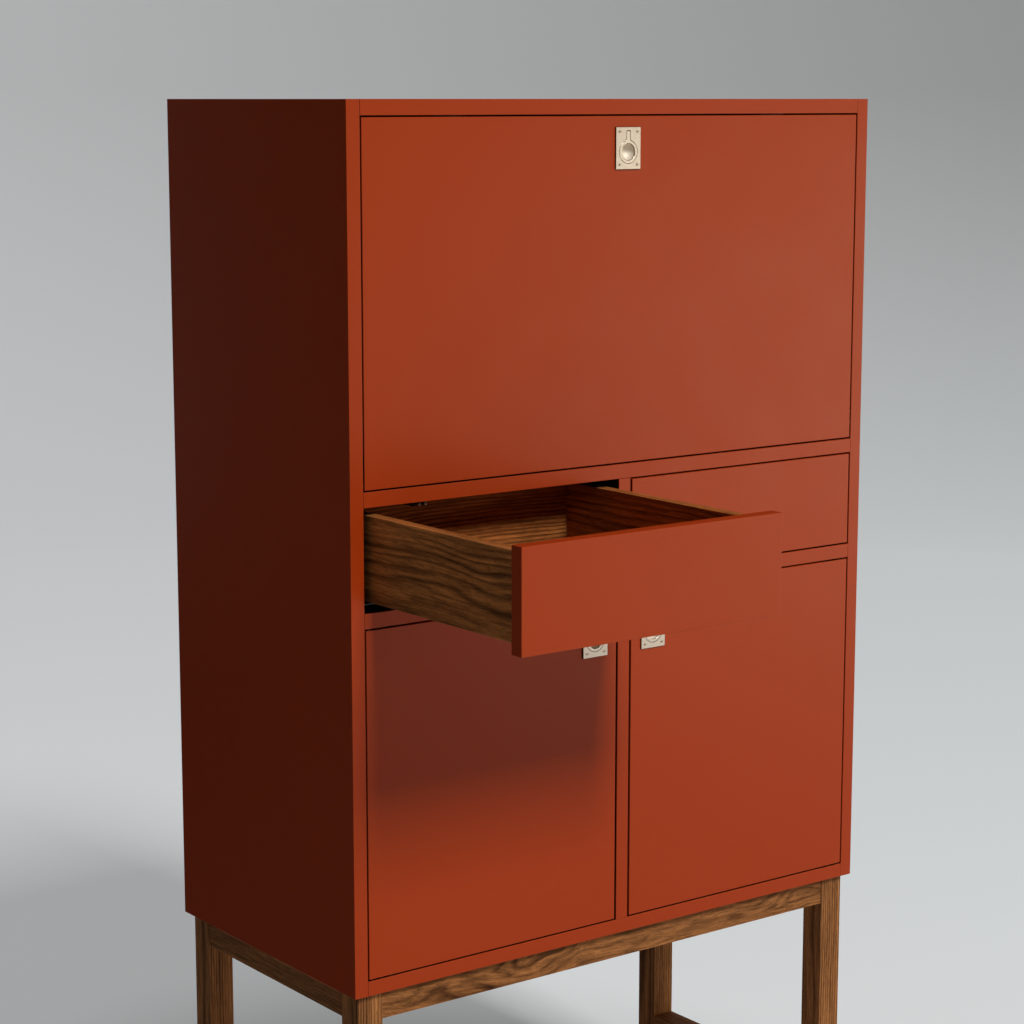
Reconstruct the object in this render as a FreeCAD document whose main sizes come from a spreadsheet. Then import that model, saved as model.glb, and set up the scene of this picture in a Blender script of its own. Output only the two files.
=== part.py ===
import FreeCAD, Part
import os
import re
import Sketcher

# Bar cabinet: a lacquered carcass with a fall-front flap, two drawers and two doors,
# standing on a walnut frame. Millimetres, +Z up. The origin is on the floor, under the
# middle of the carcass. The front looks along -Y, and +X is to the right of the front.
# The left drawer is modelled pulled open; everything else is closed.

os.makedirs("parts", exist_ok=True)
Vector = FreeCAD.Vector
doc = FreeCAD.newDocument("BarCabinet")

# Driving sizes. The sheet holds them as plain numbers.

SIZES = {
    # carcass
    "carcass_width": "800",
    "carcass_depth": "400",
    "carcass_height": "1035",
    "panel": "18",
    "drawer_bay": "122",
    "cupboard_bay": "420",
    "back_thickness": "8",
    "back_rebate": "9",
    "arris": "0.6",
    # flap, doors and drawer fronts
    "front_thickness": "18",
    "front_gap": "2",
    "meeting_gap": "3",
    "swing_clearance": "1.1",
    # dowels
    "dowel_radius": "4",
    "dowel_length": "30",
    "dowel_anchor": "12",
    "dowel_play": "0.1",
    "dowel_end_gap": "1",
    "dowel_margin": "45",
    "divider_dowel_margin": "88",
    "door_divider_dowel_margin": "60",
    # stand
    "stand_height": "415",
    "leg": "35",
    "leg_inset": "9",
    "leg_arris": "1",
    "rail_height": "36",
    "rail_thickness": "22",
    "rail_setback": "1.5",
    "rail_dowel_pitch": "18",
    "stretcher_height": "35",
    "stretcher_thickness": "31",
    "stretcher_drop": "300",
    "glide_radius": "12",
    "glide_thickness": "3",
    # inside boards
    "bar_shelf_depth": "160",
    "bar_shelf_height": "270",
    "cupboard_shelf_height": "205",
    "shelf_setback": "26",
    "shelf_thickness": "18",
    "shelf_side_gap": "0.4",
    "shelf_pin_radius": "2.5",
    "shelf_pin_depth": "8",
    "shelf_pin_reach": "7",
    "shelf_pin_margin": "40",
    # screws: a short and a long countersunk one, and the one that holds the stand
    "screw_head_radius": "2.5",
    "screw_head_height": "1.5",
    "screw_radius": "1.3",
    "short_screw_length": "10",
    "long_screw_length": "13",
    "back_screw_length": "22",
    "back_screw_margin": "130",
    "screw_slot_width": "0.7",
    "screw_slot_depth": "0.6",
    "screw_play": "0.05",
    "stand_screw_radius": "2.5",
    "stand_screw_head_radius": "5",
    "stand_screw_head_height": "4",
    "stand_screw_length": "31",
    "stand_screw_sink": "13",
    "stand_screw_offset": "200",
    "side_rail_screw_offset": "70",
    # pivot hinges of the flap and the doors
    "pivot_setback": "4",
    "pivot_inset": "5",
    "pivot_radius": "2",
    "pivot_play": "0.05",
    "pivot_end_gap": "0.3",
    "leaf_length": "40",
    "leaf_half_width": "3.2",
    "leaf_nose": "4",
    "leaf_thickness": "2",
    "leaf_screw_near": "14",
    "leaf_screw_far": "28",
    # flush ring pulls
    "pull_width": "38",
    "pull_height": "50",
    "pull_thickness": "2",
    "pull_arris": "0.4",
    "pull_block_width": "31",
    "pull_block_height": "43",
    "pull_block_depth": "3",
    "pull_screw_pitch_across": "27",
    "pull_screw_pitch_up": "39",
    "ring_drop": "29.4",
    "ring_outer_radius": "14",
    "ring_inner_radius": "10",
    "ring_thickness": "2",
    "ring_round": "0.7",
    "ring_clearance": "0.25",
    "ring_floor_gap": "0.2",
    "stem_width": "6",
    "stem_top_drop": "4",
    "stem_flare": "2",
    "pull_pin_radius": "0.7",
    "pull_pin_overlap": "2.5",
    "cup_depth": "8",
    "cup_wall": "2",
    "flap_pull_drop": "13",
    "door_pull_drop": "25",
    "door_pull_margin": "15",
    # flap stays: a slotted arm on the flap that slides on a stud in the side
    "stay_back_gap": "188",
    "stay_offset": "12",
    "stud_rise_share": "0.75",
    "stay_half_width": "7",
    "stay_thickness": "2.5",
    "stay_side_gap": "2",
    "stay_slot_half": "2.7",
    "stay_slot_spare": "6",
    "stud_radius": "2.5",
    "stud_head_radius": "5.5",
    "stud_head_height": "2",
    "stud_collar_radius": "5",
    "stud_depth": "10",
    "stay_play": "0.2",
    "bracket_thickness": "2.4",
    "bracket_foot": "26",
    "bracket_half_height": "9",
    "bracket_screw_reach": "17",
    "rivet_radius": "2.4",
    "rivet_head_radius": "4",
    "rivet_head_height": "1",
    "rivet_play": "0.05",
    # catches
    "catch_length": "40",
    "catch_depth": "14",
    "catch_height": "13",
    "catch_gap": "0.3",
    "flap_catch_offset": "250",
    "door_catch_margin": "30",
    "strike_radius": "6",
    "strike_thickness": "1.2",
    "strike_shank_radius": "1.5",
    "strike_length": "10",
    # drawers
    "drawer_open": "294",
    "box_side_gap": "10",
    "box_side": "15",
    "box_height": "100",
    "box_floor_gap": "12",
    "box_back_gap": "12",
    "box_bottom_thickness": "6",
    "box_bottom_rise": "12",
    "box_groove": "6",
    "front_dowel_length": "20",
    "front_dowel_margin": "70",
    # hidden drawer runners
    "runner_start": "4",
    "runner_back_gap": "20",
    "runner_wall_gap": "0.3",
    "runner_lift": "5",
    "runner_sheet": "1.5",
    "runner_flange": "30",
    "runner_bar_width": "10",
    "runner_bar_inset": "31",
    "runner_track_lip": "8",
    "runner_play": "0.4",
    "runner_lip_gap": "2",
    "runner_screw_margin": "60",
    "runner_screw_stagger": "12",
    "runner_screw_height": "24",
    # push latches behind the drawer fronts
    "latch_width": "20",
    "latch_depth": "36",
    "latch_height": "9",
    "latch_margin": "94",
    "latch_setback": "6",
    "plunger_radius": "1.75",
    "plunger_pitch": "8.5",
    "plunger_drop": "6.5",
    "plunger_bore_depth": "22",
    "plunger_play": "0.05",
    "plunger_travel": "3",
}

# Places worked out from the sizes, as formulas.

PLACES = {
    "half_width": "carcass_width / 2",
    "inner_half": "half_width - panel",
    "front": "-carcass_depth / 2",
    "back": "carcass_depth / 2",
    "bay_back": "back - back_thickness",
    "back_half": "inner_half + back_rebate",
    "divider_half": "panel / 2",
    "carcass_top": "stand_height + carcass_height",
    "cupboard_floor": "stand_height + panel",
    "cupboard_ceiling": "cupboard_floor + cupboard_bay",
    "drawer_floor": "cupboard_ceiling + panel",
    "drawer_ceiling": "drawer_floor + drawer_bay",
    "bar_floor": "drawer_ceiling + panel",
    "bar_ceiling": "carcass_top - panel",
    "front_back": "front + front_thickness",
    "flap_half": "inner_half - front_gap",
    "flap_low": "bar_floor + front_gap",
    "flap_high": "bar_ceiling - front_gap",
    "door_low": "cupboard_floor + front_gap",
    "door_high": "cupboard_ceiling - front_gap",
    "drawer_front_low": "drawer_floor + front_gap",
    "drawer_front_high": "drawer_ceiling - front_gap",
    "front_outer": "inner_half - front_gap",
    "front_inner": "divider_half + meeting_gap",
    "pivot_y": "front + pivot_setback",
    "behind_pivot": "front_thickness - pivot_setback",
    "flap_pivot_z": "flap_low + pivot_inset",
    "door_pivot_x": "front_outer - pivot_inset",
    "leg_outer_x": "half_width - leg_inset",
    "leg_inner_x": "leg_outer_x - leg",
    "leg_outer_y": "back - leg_inset",
    "leg_inner_y": "leg_outer_y - leg",
    "rail_low": "stand_height - rail_height",
    "stretcher_high": "stand_height - stretcher_drop",
    "stretcher_low": "stretcher_high - stretcher_height",
    "floor_board_top": "flap_pivot_z + behind_pivot",
    "floor_board_front": "pivot_y + sqrt(behind_pivot^2 + pivot_inset^2) + swing_clearance",
    "bar_shelf_low": "bar_floor + bar_shelf_height",
    "cupboard_shelf_low": "cupboard_floor + cupboard_shelf_height",
    "shelf_front": "front_back + shelf_setback",
    "shelf_pin_back": "bay_back - shelf_pin_margin",
    "door_pull_x": "front_inner + door_pull_margin + pull_width / 2",
    "door_pull_z": "door_high - door_pull_drop - pull_height / 2",
    "flap_pull_z": "flap_high - flap_pull_drop - pull_height / 2",
    "ring_y": "pull_height / 2 - ring_drop",
    "slot_top": "pull_height / 2 - stem_top_drop",
    "pull_pin_y": "slot_top - ring_clearance - ring_thickness / 2",
    "pull_pin_z": "pull_thickness - ring_thickness / 2",
    "recess_depth": "ring_thickness + ring_floor_gap",
    "recess_floor": "pull_thickness - recess_depth",
    "cup_radius": "(ring_inner_radius^2 + cup_depth^2) / (2 * cup_depth)",
    "cup_centre": "recess_floor - cup_depth + cup_radius",
    "cup_boss_radius": "ring_inner_radius + cup_wall",
    "cup_boss_depth": "cup_depth + cup_wall",
    "stay_radius": "bay_back - pivot_y - stay_back_gap",
    "stay_stud_rise": "stay_radius * stud_rise_share",
    "stay_pivot_y": "pivot_y + behind_pivot + stay_offset",
    "stay_pivot_rise": "sqrt(stay_radius^2 - (stay_pivot_y - pivot_y)^2)",
    "stay_pivot_z": "flap_pivot_z + stay_pivot_rise",
    "stay_stud_z": "flap_pivot_z + stay_stud_rise",
    "stay_stud_y": "pivot_y + sqrt(stay_radius^2 - stay_stud_rise^2)",
    "stay_closed_reach": "sqrt((stay_stud_y - stay_pivot_y)^2 + (stay_pivot_z - stay_stud_z)^2)",
    "stay_open_y": "pivot_y - stay_pivot_rise",
    "stay_open_z": "flap_pivot_z + stay_pivot_y - pivot_y",
    "stay_open_reach": "sqrt((stay_stud_y - stay_open_y)^2 + (stay_stud_z - stay_open_z)^2)",
    "stay_slot_start": "stay_closed_reach - stay_slot_spare",
    "stay_slot_end": "stay_open_reach + stay_play",
    "stay_outer_x": "inner_half - stay_side_gap",
    "stay_inner_x": "stay_outer_x - stay_thickness",
    "bracket_outer_x": "stay_inner_x - stay_play",
    "bracket_inner_x": "bracket_outer_x - bracket_thickness",
    "box_outer": "inner_half - box_side_gap",
    "box_inner": "divider_half + box_side_gap",
    "box_low": "drawer_floor + box_floor_gap",
    "box_high": "box_low + box_height",
    "box_bottom_low": "box_low + box_bottom_rise",
    "box_bottom_high": "box_bottom_low + box_bottom_thickness",
    "box_back": "bay_back - box_back_gap",
    "runner_front": "front_back + runner_start",
    "runner_length": "bay_back - runner_back_gap - runner_front",
    "track_inset": "runner_bar_inset - runner_play - runner_sheet",
    "track_far": "runner_bar_inset + runner_bar_width + runner_play + runner_sheet",
    "track_floor": "runner_lift + runner_sheet",
    "track_high": "runner_lift + runner_track_lip",
    "bar_low": "track_floor + runner_play",
    "rider_low": "track_high + runner_lip_gap",
    "rider_top": "box_floor_gap + box_bottom_rise",
    "rider_ceiling": "rider_top - runner_sheet",
    "bar_high": "rider_ceiling - runner_play",
    "latch_front": "front_back + latch_setback",
    "plunger_z": "drawer_ceiling - plunger_drop",
    "plunger_tip": "front_back + catch_gap",
}

sheet = doc.addObject("Spreadsheet::Sheet", "Sizes")
for row, (name, number) in enumerate(SIZES.items(), start=1):
    sheet.set("A" + str(row), name)
    sheet.set("B" + str(row), number)
    sheet.setAlias("B" + str(row), name)
doc.recompute()

LEFT, RIGHT = -1, 1
SIDES = {"left": LEFT, "right": RIGHT}
HAIR = 0.02  # a hair's breadth in millimetres, for picking edges by length or height
X, Y, Z = (1, 0, 0), (0, 1, 0), (0, 0, 1)
BACK, UP, DOWN = Y, Z, (0, 0, -1)
FORWARD = (0, -1, 0)


def formula(text):
    """Spell out the places in a formula, and point its sizes at the sheet."""

    def spell(match):
        word = match.group(0)
        if word in PLACES:
            return "(" + formula(PLACES[word]) + ")"
        if word in SIZES:
            return "Sizes." + word
        return word

    return re.sub(r"[a-z_]+", spell, text)


def value(text):
    return float(sheet.evalExpression(formula(text)))


def bind(thing, **texts):
    for prop, text in texts.items():
        thing.setExpression(prop.replace("__", "."), formula(text))


def place(thing, at, x_axis=X, z_axis=Z):
    """Turn a thing to its two axes, and tie its position to the sheet."""
    turn = FreeCAD.Rotation(Vector(*x_axis), Vector(), Vector(*z_axis), "ZXY")
    thing.Placement = FreeCAD.Placement(Vector(), turn)
    bind(thing, Placement__Base__x=at[0], Placement__Base__y=at[1], Placement__Base__z=at[2])
    return thing


def across(side, text):
    """The same distance to the left or to the right of the middle."""
    return text if side == RIGHT else "-(" + text + ")"


def along(at, axis, text):
    """A point moved along an axis by a distance."""
    signs = {1: " + (", -1: " - ("}
    return tuple(c + signs[a] + text + ")" if a else c for c, a in zip(at, axis))


def outward(side):
    return (side, 0, 0)


def inward(side):
    return (-side, 0, 0)


# Shapes that repeat.

counters = {}


def numbered(stem):
    counters[stem] = counters.get(stem, 0) + 1
    return stem + "_" + str(counters[stem])


def block(name, low, high):
    solid = doc.addObject("Part::Box", name)
    bind(
        solid,
        Length="(" + high[0] + ") - (" + low[0] + ")",
        Width="(" + high[1] + ") - (" + low[1] + ")",
        Height="(" + high[2] + ") - (" + low[2] + ")",
    )
    return place(solid, low)


def span(side, near, far):
    """The lower and upper ends, along X, of what lies between two distances on one side."""
    return (near, far) if side == RIGHT else (across(side, far), across(side, near))


def rod(name, radius, start, length, axis=Z):
    solid = doc.addObject("Part::Cylinder", name)
    bind(solid, Radius=radius, Height=length)
    cross = Y if axis[0] else X
    return place(solid, start, cross, axis)


def cone(name, low_radius, high_radius, start, length):
    solid = doc.addObject("Part::Cone", name)
    bind(solid, Radius1=low_radius, Radius2=high_radius, Height=length)
    return place(solid, start)


def copy_of(master, at, x_axis=X, z_axis=Z, name=None):
    copy = doc.addObject("Part::Compound", name or numbered(master.Name + "_copy"))
    copy.Links = [master]
    return place(copy, at, x_axis, z_axis)


def group(name, members):
    holder = doc.addObject("Part::Compound", name)
    holder.Links = list(members)
    return holder


def joined(name, members):
    union = doc.addObject("Part::MultiFuse", name)
    union.Shapes = list(members)
    return union


def carved(name, base, tools):
    cut = doc.addObject("Part::Cut", name)
    cut.Base = base
    cut.Tool = tools[0] if len(tools) == 1 else group(name + "_tools", tools)
    return cut


def eased(name, base, radius="arris"):
    """Round every edge of a plain board by the arris."""
    doc.recompute()
    soft = doc.addObject("Part::Fillet", name)
    soft.Base = base
    size = value(radius)
    soft.Edges = [(number, size, size) for number in range(1, len(base.Shape.Edges) + 1)]
    return soft


nodes = []
bores = {}


def keep(thing):
    thing.Label = thing.Name
    nodes.append(thing)
    return thing


def bored_by(tool, *boards):
    for board_name in boards:
        bores.setdefault(board_name, []).append(tool)


def finish_board(name, soft):
    """Cut a board's bores and housings and keep it as a sub-part."""
    if name in bores:
        return keep(carved(name, soft, bores[name]))
    soft.Label = name
    nodes.append(soft)
    return soft


def board(name, low, high, radius="arris"):
    plain = block(name + "_blank", low, high)
    soft = eased(name + "_eased", plain, radius)
    return finish_board(name, soft)


# Sketch helpers for the turned and machined pieces.


def sketch_on(body, name, role="XY_Plane", offset=None):
    sketch = body.newObject("Sketcher::SketchObject", name)
    plane = [item for item in body.Origin.OriginFeatures if item.Role == role][0]
    sketch.AttachmentSupport = [(plane, "")]
    sketch.MapMode = "FlatFace"
    if offset:
        bind(sketch, AttachmentOffset__Base__z=offset)
    return sketch


def tie(sketch, name, constraint, text):
    index = sketch.addConstraint(constraint)
    sketch.renameConstraint(index, name)
    sketch.setExpression("Constraints." + name, formula(text))


def outline(sketch, corners):
    """A closed outline of straight lines, with every corner tied to the sheet."""
    points = [Vector(value(across_text), value(up_text), 0) for across_text, up_text in corners]
    count = len(points)
    for index in range(count):
        line = Part.LineSegment(points[index], points[(index + 1) % count])
        sketch.addGeometry(line, False)
    for index in range(count):
        sketch.addConstraint(Sketcher.Constraint("Coincident", index, 2, (index + 1) % count, 1))
    for index, (across_text, up_text) in enumerate(corners):
        point = points[index]
        x_tie = Sketcher.Constraint("DistanceX", -1, 1, index, 1, point.x)
        y_tie = Sketcher.Constraint("DistanceY", -1, 1, index, 1, point.y)
        tie(sketch, "across" + str(index), x_tie, across_text)
        tie(sketch, "up" + str(index), y_tie, up_text)


def rectangle(sketch, left, low, right, high):
    outline(sketch, [(left, low), (right, low), (right, high), (left, high)])


def circle(sketch, centre_across, centre_up, radius):
    centre = Vector(value(centre_across), value(centre_up), 0)
    index = sketch.addGeometry(Part.Circle(centre, Vector(*Z), value(radius)), False)
    x_tie = Sketcher.Constraint("DistanceX", -1, 1, index, 3, centre.x)
    y_tie = Sketcher.Constraint("DistanceY", -1, 1, index, 3, centre.y)
    tie(sketch, "across" + str(index), x_tie, centre_across)
    tie(sketch, "up" + str(index), y_tie, centre_up)
    tie(sketch, "radius" + str(index), Sketcher.Constraint("Radius", index, value(radius)), radius)


def add_feature(body, kind, name, sketch, length, reverse=False, both_ways=False):
    feature = body.newObject(kind, name)
    feature.Profile = sketch
    feature.Reversed = reverse
    feature.Midplane = both_ways
    bind(feature, Length=length)
    sketch.Visibility = False
    return feature


def pad(body, name, sketch, length, reverse=False, both_ways=False):
    return add_feature(body, "PartDesign::Pad", name, sketch, length, reverse, both_ways)


def pocket(body, name, sketch, length, reverse=False, both_ways=False):
    return add_feature(body, "PartDesign::Pocket", name, sketch, length, reverse, both_ways)


def round_edges(body, name, radius, wanted):
    """Fillet the edges of a body's last feature that a test picks out."""
    doc.recompute()
    base = body.Tip
    picked = [
        "Edge" + str(number)
        for number, edge in enumerate(base.Shape.Edges, start=1)
        if wanted(edge)
    ]
    fillet = body.newObject("PartDesign::Fillet", name)
    fillet.Base = (base, picked)
    bind(fillet, Radius=radius)
    return fillet


# Fasteners. Each lies along its own Z, with its mouth at zero and its body below it.


def countersunk_form(name, length, play):
    """The form of a countersunk screw, or with play of the bore that it goes in."""
    head = cone(
        name + "_head",
        "screw_radius + " + play,
        "screw_head_radius + " + play,
        ("0", "0", "-screw_head_height"),
        "screw_head_height",
    )
    shank_length = length + " + " + play
    start = ("0", "0", "-(" + shank_length + ")")
    shank = rod(name + "_shank", "screw_radius + " + play, start, shank_length)
    return joined(name, [head, shank])


def stand_screw(name, play, mouth):
    """A cylinder-head screw deep in a rail, or with play its stepped bore."""
    sunk = "stand_screw_sink + stand_screw_head_height"
    head_start = ("0", "0", "-(" + sunk + ")")
    head = rod(name + "_head", "stand_screw_head_radius + " + play, head_start, mouth)
    whole = sunk + " + stand_screw_length + " + play
    shank_length = "stand_screw_length + " + play
    start = ("0", "0", "-(" + whole + ")")
    shank = rod(name + "_shank", "stand_screw_radius + " + play, start, shank_length)
    return joined(name, [head, shank])


def strike_screw(name, play):
    """The broad flat-headed pin that a magnet holds."""
    disc_start = ("0", "0", "-strike_thickness")
    disc = rod(name + "_disc", "strike_radius + " + play, disc_start, "strike_thickness")
    start = ("0", "0", "-(strike_length + " + play + ")")
    shank = rod(name + "_shank", "strike_shank_radius + " + play, start, "strike_length + " + play)
    return joined(name, [disc, shank])


def slotted_screw(name, length):
    slot = block(
        name + "_slot",
        ("-screw_head_radius", "-screw_slot_width / 2", "-screw_slot_depth"),
        ("screw_head_radius", "screw_slot_width / 2", "0"),
    )
    return carved(name, countersunk_form(name + "_form", length, "0"), [slot])


short_screw = slotted_screw("short_screw", "short_screw_length")
short_bore = countersunk_form("short_bore", "short_screw_length", "screw_play")
long_screw = slotted_screw("long_screw", "long_screw_length")
long_bore = countersunk_form("long_bore", "long_screw_length", "screw_play")
back_screw = slotted_screw("back_screw", "back_screw_length")
back_bore = countersunk_form("back_bore", "back_screw_length", "screw_play")
frame_screw = stand_screw("frame_screw", "0", "stand_screw_head_height")
frame_bore = stand_screw("frame_bore", "screw_play", "stand_screw_sink + stand_screw_head_height")
strike = strike_screw("strike", "0")
strike_bore = strike_screw("strike_bore", "screw_play")
dowel = rod("dowel", "dowel_radius", ("0", "0", "-dowel_length"), "dowel_length")
dowel_bore = rod(
    "dowel_bore",
    "dowel_radius + dowel_play",
    ("0", "0", "-dowel_length - dowel_end_gap"),
    "dowel_length + 2 * dowel_end_gap",
)
shelf_pin = rod(
    "shelf_pin", "shelf_pin_radius", ("0", "0", "-shelf_pin_depth"), "shelf_pin_depth + shelf_pin_reach"
)

dowels = []
cabinet_screws = []
shelf_pins = []


def add_dowel(at, direction, *boards):
    """A dowel that starts in one board and runs against a direction into the next."""
    dowels.append(copy_of(dowel, at, z_axis=direction, x_axis=side_of(direction)))
    bored_by(copy_of(dowel_bore, at, z_axis=direction, x_axis=side_of(direction)), *boards)


def side_of(direction):
    return Y if direction[0] else X


def add_screw(into, kind, at, direction, *boards):
    screw, bore = kind
    into.append(copy_of(screw, at, z_axis=direction, x_axis=side_of(direction)))
    bored_by(copy_of(bore, at, z_axis=direction, x_axis=side_of(direction)), *boards)


def add_shelf_pin(at, direction, board_name):
    pin = copy_of(shelf_pin, at, z_axis=direction, x_axis=side_of(direction))
    shelf_pins.append(pin)
    bored_by(pin, board_name)


SHORT = (short_screw, short_bore)
BACKING = (back_screw, back_bore)
FRAME = (frame_screw, frame_bore)
STRIKE = (strike, strike_bore)

# Knife hinges. A leaf lies flush in its housing, its pivot at its own origin.


def leaf_plate(name):
    low = ("-leaf_nose", "-leaf_half_width", "-leaf_thickness")
    high = ("leaf_length - leaf_nose", "leaf_half_width", "0")
    return block(name, low, high)


LEAF_SCREWS = ("leaf_screw_near", "leaf_screw_far")
leaf_screw_tools = [copy_of(short_bore, (offset, "0", "0")) for offset in LEAF_SCREWS]
leaf_housing = leaf_plate("leaf_housing")
leaf_foot = ("0", "0", "-leaf_thickness")
pivot_length = "leaf_thickness + front_gap + leaf_thickness - pivot_end_gap"
pivot_pin = rod("pivot_pin", "pivot_radius", leaf_foot, pivot_length)
pivot_eye = rod("pivot_eye", "pivot_radius + pivot_play", leaf_foot, "leaf_thickness")
pin_plate = carved("pin_leaf_plate", leaf_plate("pin_leaf_blank"), leaf_screw_tools)
pin_leaf = joined("pin_leaf", [pin_plate, pivot_pin])
eye_leaf = carved("eye_leaf", leaf_plate("eye_leaf_blank"), leaf_screw_tools + [pivot_eye])

hinge_plates = []
hinge_leaves = {"flap": [], "door_left": [], "door_right": []}
fixings = {"flap": [], "door_left": [], "door_right": []}


def add_leaf(into, screws, master, at, x_axis, z_axis, board_name):
    into.append(copy_of(master, at, x_axis, z_axis))
    bored_by(copy_of(leaf_housing, at, x_axis, z_axis), board_name)
    for offset in LEAF_SCREWS:
        add_screw(screws, SHORT, along(at, x_axis, offset), z_axis, board_name)


for side_name, side in SIDES.items():
    flap_at = (across(side, "flap_half"), "pivot_y", "flap_pivot_z")
    side_at = (across(side, "inner_half"), "pivot_y", "flap_pivot_z")
    side_board = "side_panel_" + side_name
    add_leaf(hinge_leaves["flap"], fixings["flap"], pin_leaf, flap_at, UP, outward(side), "flap_panel")
    add_leaf(hinge_plates, cabinet_screws, eye_leaf, side_at, UP, inward(side), side_board)
    door = "door_" + side_name
    for edge, seat, face, seat_board in (
        ("door_high", "cupboard_ceiling", UP, "cupboard_deck"),
        ("door_low", "cupboard_floor", DOWN, "bottom_panel"),
    ):
        door_at = (across(side, "door_pivot_x"), "pivot_y", edge)
        seat_at = (across(side, "door_pivot_x"), "pivot_y", seat)
        seat_face = DOWN if face == UP else UP
        add_leaf(hinge_leaves[door], fixings[door], pin_leaf, door_at, inward(side), face, door + "_panel")
        add_leaf(hinge_plates, cabinet_screws, eye_leaf, seat_at, inward(side), seat_face, seat_board)

# Flush ring pull. Its own Z points out of the panel's face, its Y up, its origin mid-plate.

plate_body = doc.addObject("PartDesign::Body", "pull_casting")
plate_sketch = sketch_on(plate_body, "plate_outline")
rectangle(plate_sketch, "-pull_width / 2", "-pull_height / 2", "pull_width / 2", "pull_height / 2")
pad(plate_body, "plate_pad", plate_sketch, "pull_thickness")
round_edges(
    plate_body,
    "plate_arris",
    "pull_arris",
    lambda edge: edge.CenterOfMass.z > HAIR,
)
plate_block_sketch = sketch_on(plate_body, "block_outline")
rectangle(
    plate_block_sketch,
    "-pull_block_width / 2",
    "-pull_block_height / 2",
    "pull_block_width / 2",
    "pull_block_height / 2",
)
pad(plate_body, "block_pad", plate_block_sketch, "pull_block_depth", reverse=True)
boss_sketch = sketch_on(plate_body, "cup_boss_outline")
circle(boss_sketch, "0", "ring_y", "cup_boss_radius")
pad(plate_body, "cup_boss_pad", boss_sketch, "cup_boss_depth", reverse=True)
recess_sketch = sketch_on(plate_body, "ring_recess_outline", offset="pull_thickness")
circle(recess_sketch, "0", "ring_y", "ring_outer_radius + ring_clearance")
pocket(plate_body, "ring_recess", recess_sketch, "recess_depth")
slot_sketch = sketch_on(plate_body, "stem_slot_outline", offset="pull_thickness")
rectangle(
    slot_sketch,
    "-stem_width / 2 - ring_clearance",
    "ring_y",
    "stem_width / 2 + ring_clearance",
    "slot_top",
)
pocket(plate_body, "stem_slot", slot_sketch, "recess_depth")
round_edges(
    plate_body,
    "slot_flare",
    "stem_flare + ring_clearance",
    lambda edge: abs(edge.Length - value("recess_depth")) < HAIR
    and edge.BoundBox.ZLength > value("recess_depth") - HAIR
    and edge.CenterOfMass.y < value("slot_top - stem_width / 2"),
)
cup = plate_body.newObject("PartDesign::SubtractiveSphere", "cup_dish")
cup_plane = [item for item in plate_body.Origin.OriginFeatures if item.Role == "XY_Plane"][0]
cup.AttachmentSupport = [(cup_plane, "")]
cup.MapMode = "FlatFace"
bind(cup, Radius="cup_radius", AttachmentOffset__Base__y="ring_y", AttachmentOffset__Base__z="cup_centre")
doc.recompute()

pull_screw_points = [
    (
        across(side, "pull_screw_pitch_across / 2"),
        across(end, "pull_screw_pitch_up / 2"),
        "pull_thickness",
    )
    for side in (LEFT, RIGHT)
    for end in (LEFT, RIGHT)
]
pin_half = "(stem_width / 2 + ring_clearance + pull_pin_overlap)"
pin_start = ("-" + pin_half, "pull_pin_y", "pull_pin_z")
pull_pin = rod("pull_pin", "pull_pin_radius", pin_start, "2 * " + pin_half, X)
pull_pin_master = group("pull_pin_master", [pull_pin])
pull_plate = carved(
    "pull_plate", plate_body, [pull_pin] + [copy_of(long_bore, at) for at in pull_screw_points]
)
pull_screws = group("pull_screws", [copy_of(long_screw, at) for at in pull_screw_points])
pull_bores = group("pull_bores", [copy_of(long_bore, at) for at in pull_screw_points])
block_housing = block(
    "block_housing",
    ("-pull_block_width / 2", "-pull_block_height / 2", "-pull_block_depth"),
    ("pull_block_width / 2", "pull_block_height / 2", "0"),
)
cup_housing = rod("cup_housing", "cup_boss_radius", ("0", "ring_y", "-cup_boss_depth"), "cup_boss_depth")
pull_housing = joined("pull_housing", [block_housing, cup_housing])

ring_body = doc.addObject("PartDesign::Body", "pull_ring")
ring_sketch = sketch_on(ring_body, "ring_outline", offset="pull_thickness - ring_thickness")
circle(ring_sketch, "0", "ring_y", "ring_outer_radius")
pad(ring_body, "ring_pad", ring_sketch, "ring_thickness")
stem_sketch = sketch_on(ring_body, "stem_outline", offset="pull_thickness - ring_thickness")
rectangle(stem_sketch, "-stem_width / 2", "ring_y", "stem_width / 2", "pull_pin_y")
pad(ring_body, "stem_pad", stem_sketch, "ring_thickness")
round_edges(
    ring_body,
    "stem_flare",
    "stem_flare",
    lambda edge: edge.Length < value("ring_thickness") + HAIR
    and abs(edge.CenterOfMass.y - value("ring_y")) < value("ring_outer_radius"),
)
knuckle_sketch = sketch_on(ring_body, "knuckle_outline", "YZ_Plane")
circle(knuckle_sketch, "pull_pin_y", "pull_pin_z", "ring_thickness / 2")
pad(ring_body, "knuckle_pad", knuckle_sketch, "stem_width", both_ways=True)
eye_sketch = sketch_on(ring_body, "ring_eye_outline", offset="pull_thickness")
circle(eye_sketch, "0", "ring_y", "ring_inner_radius")
pocket(ring_body, "ring_eye", eye_sketch, "ring_thickness")
hole_sketch = sketch_on(ring_body, "pin_hole_outline", "YZ_Plane")
circle(hole_sketch, "pull_pin_y", "pull_pin_z", "pull_pin_radius + pivot_play")
pocket(ring_body, "pin_hole", hole_sketch, "2 * stem_width", both_ways=True)
round_edges(
    ring_body,
    "ring_round",
    "ring_round",
    lambda edge: edge.Curve.TypeId == "Part::GeomCircle"
    and abs(edge.CenterOfMass.y - value("ring_y")) < value("ring_outer_radius / 2")
    and edge.Length > value("2 * ring_outer_radius"),
)


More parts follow.
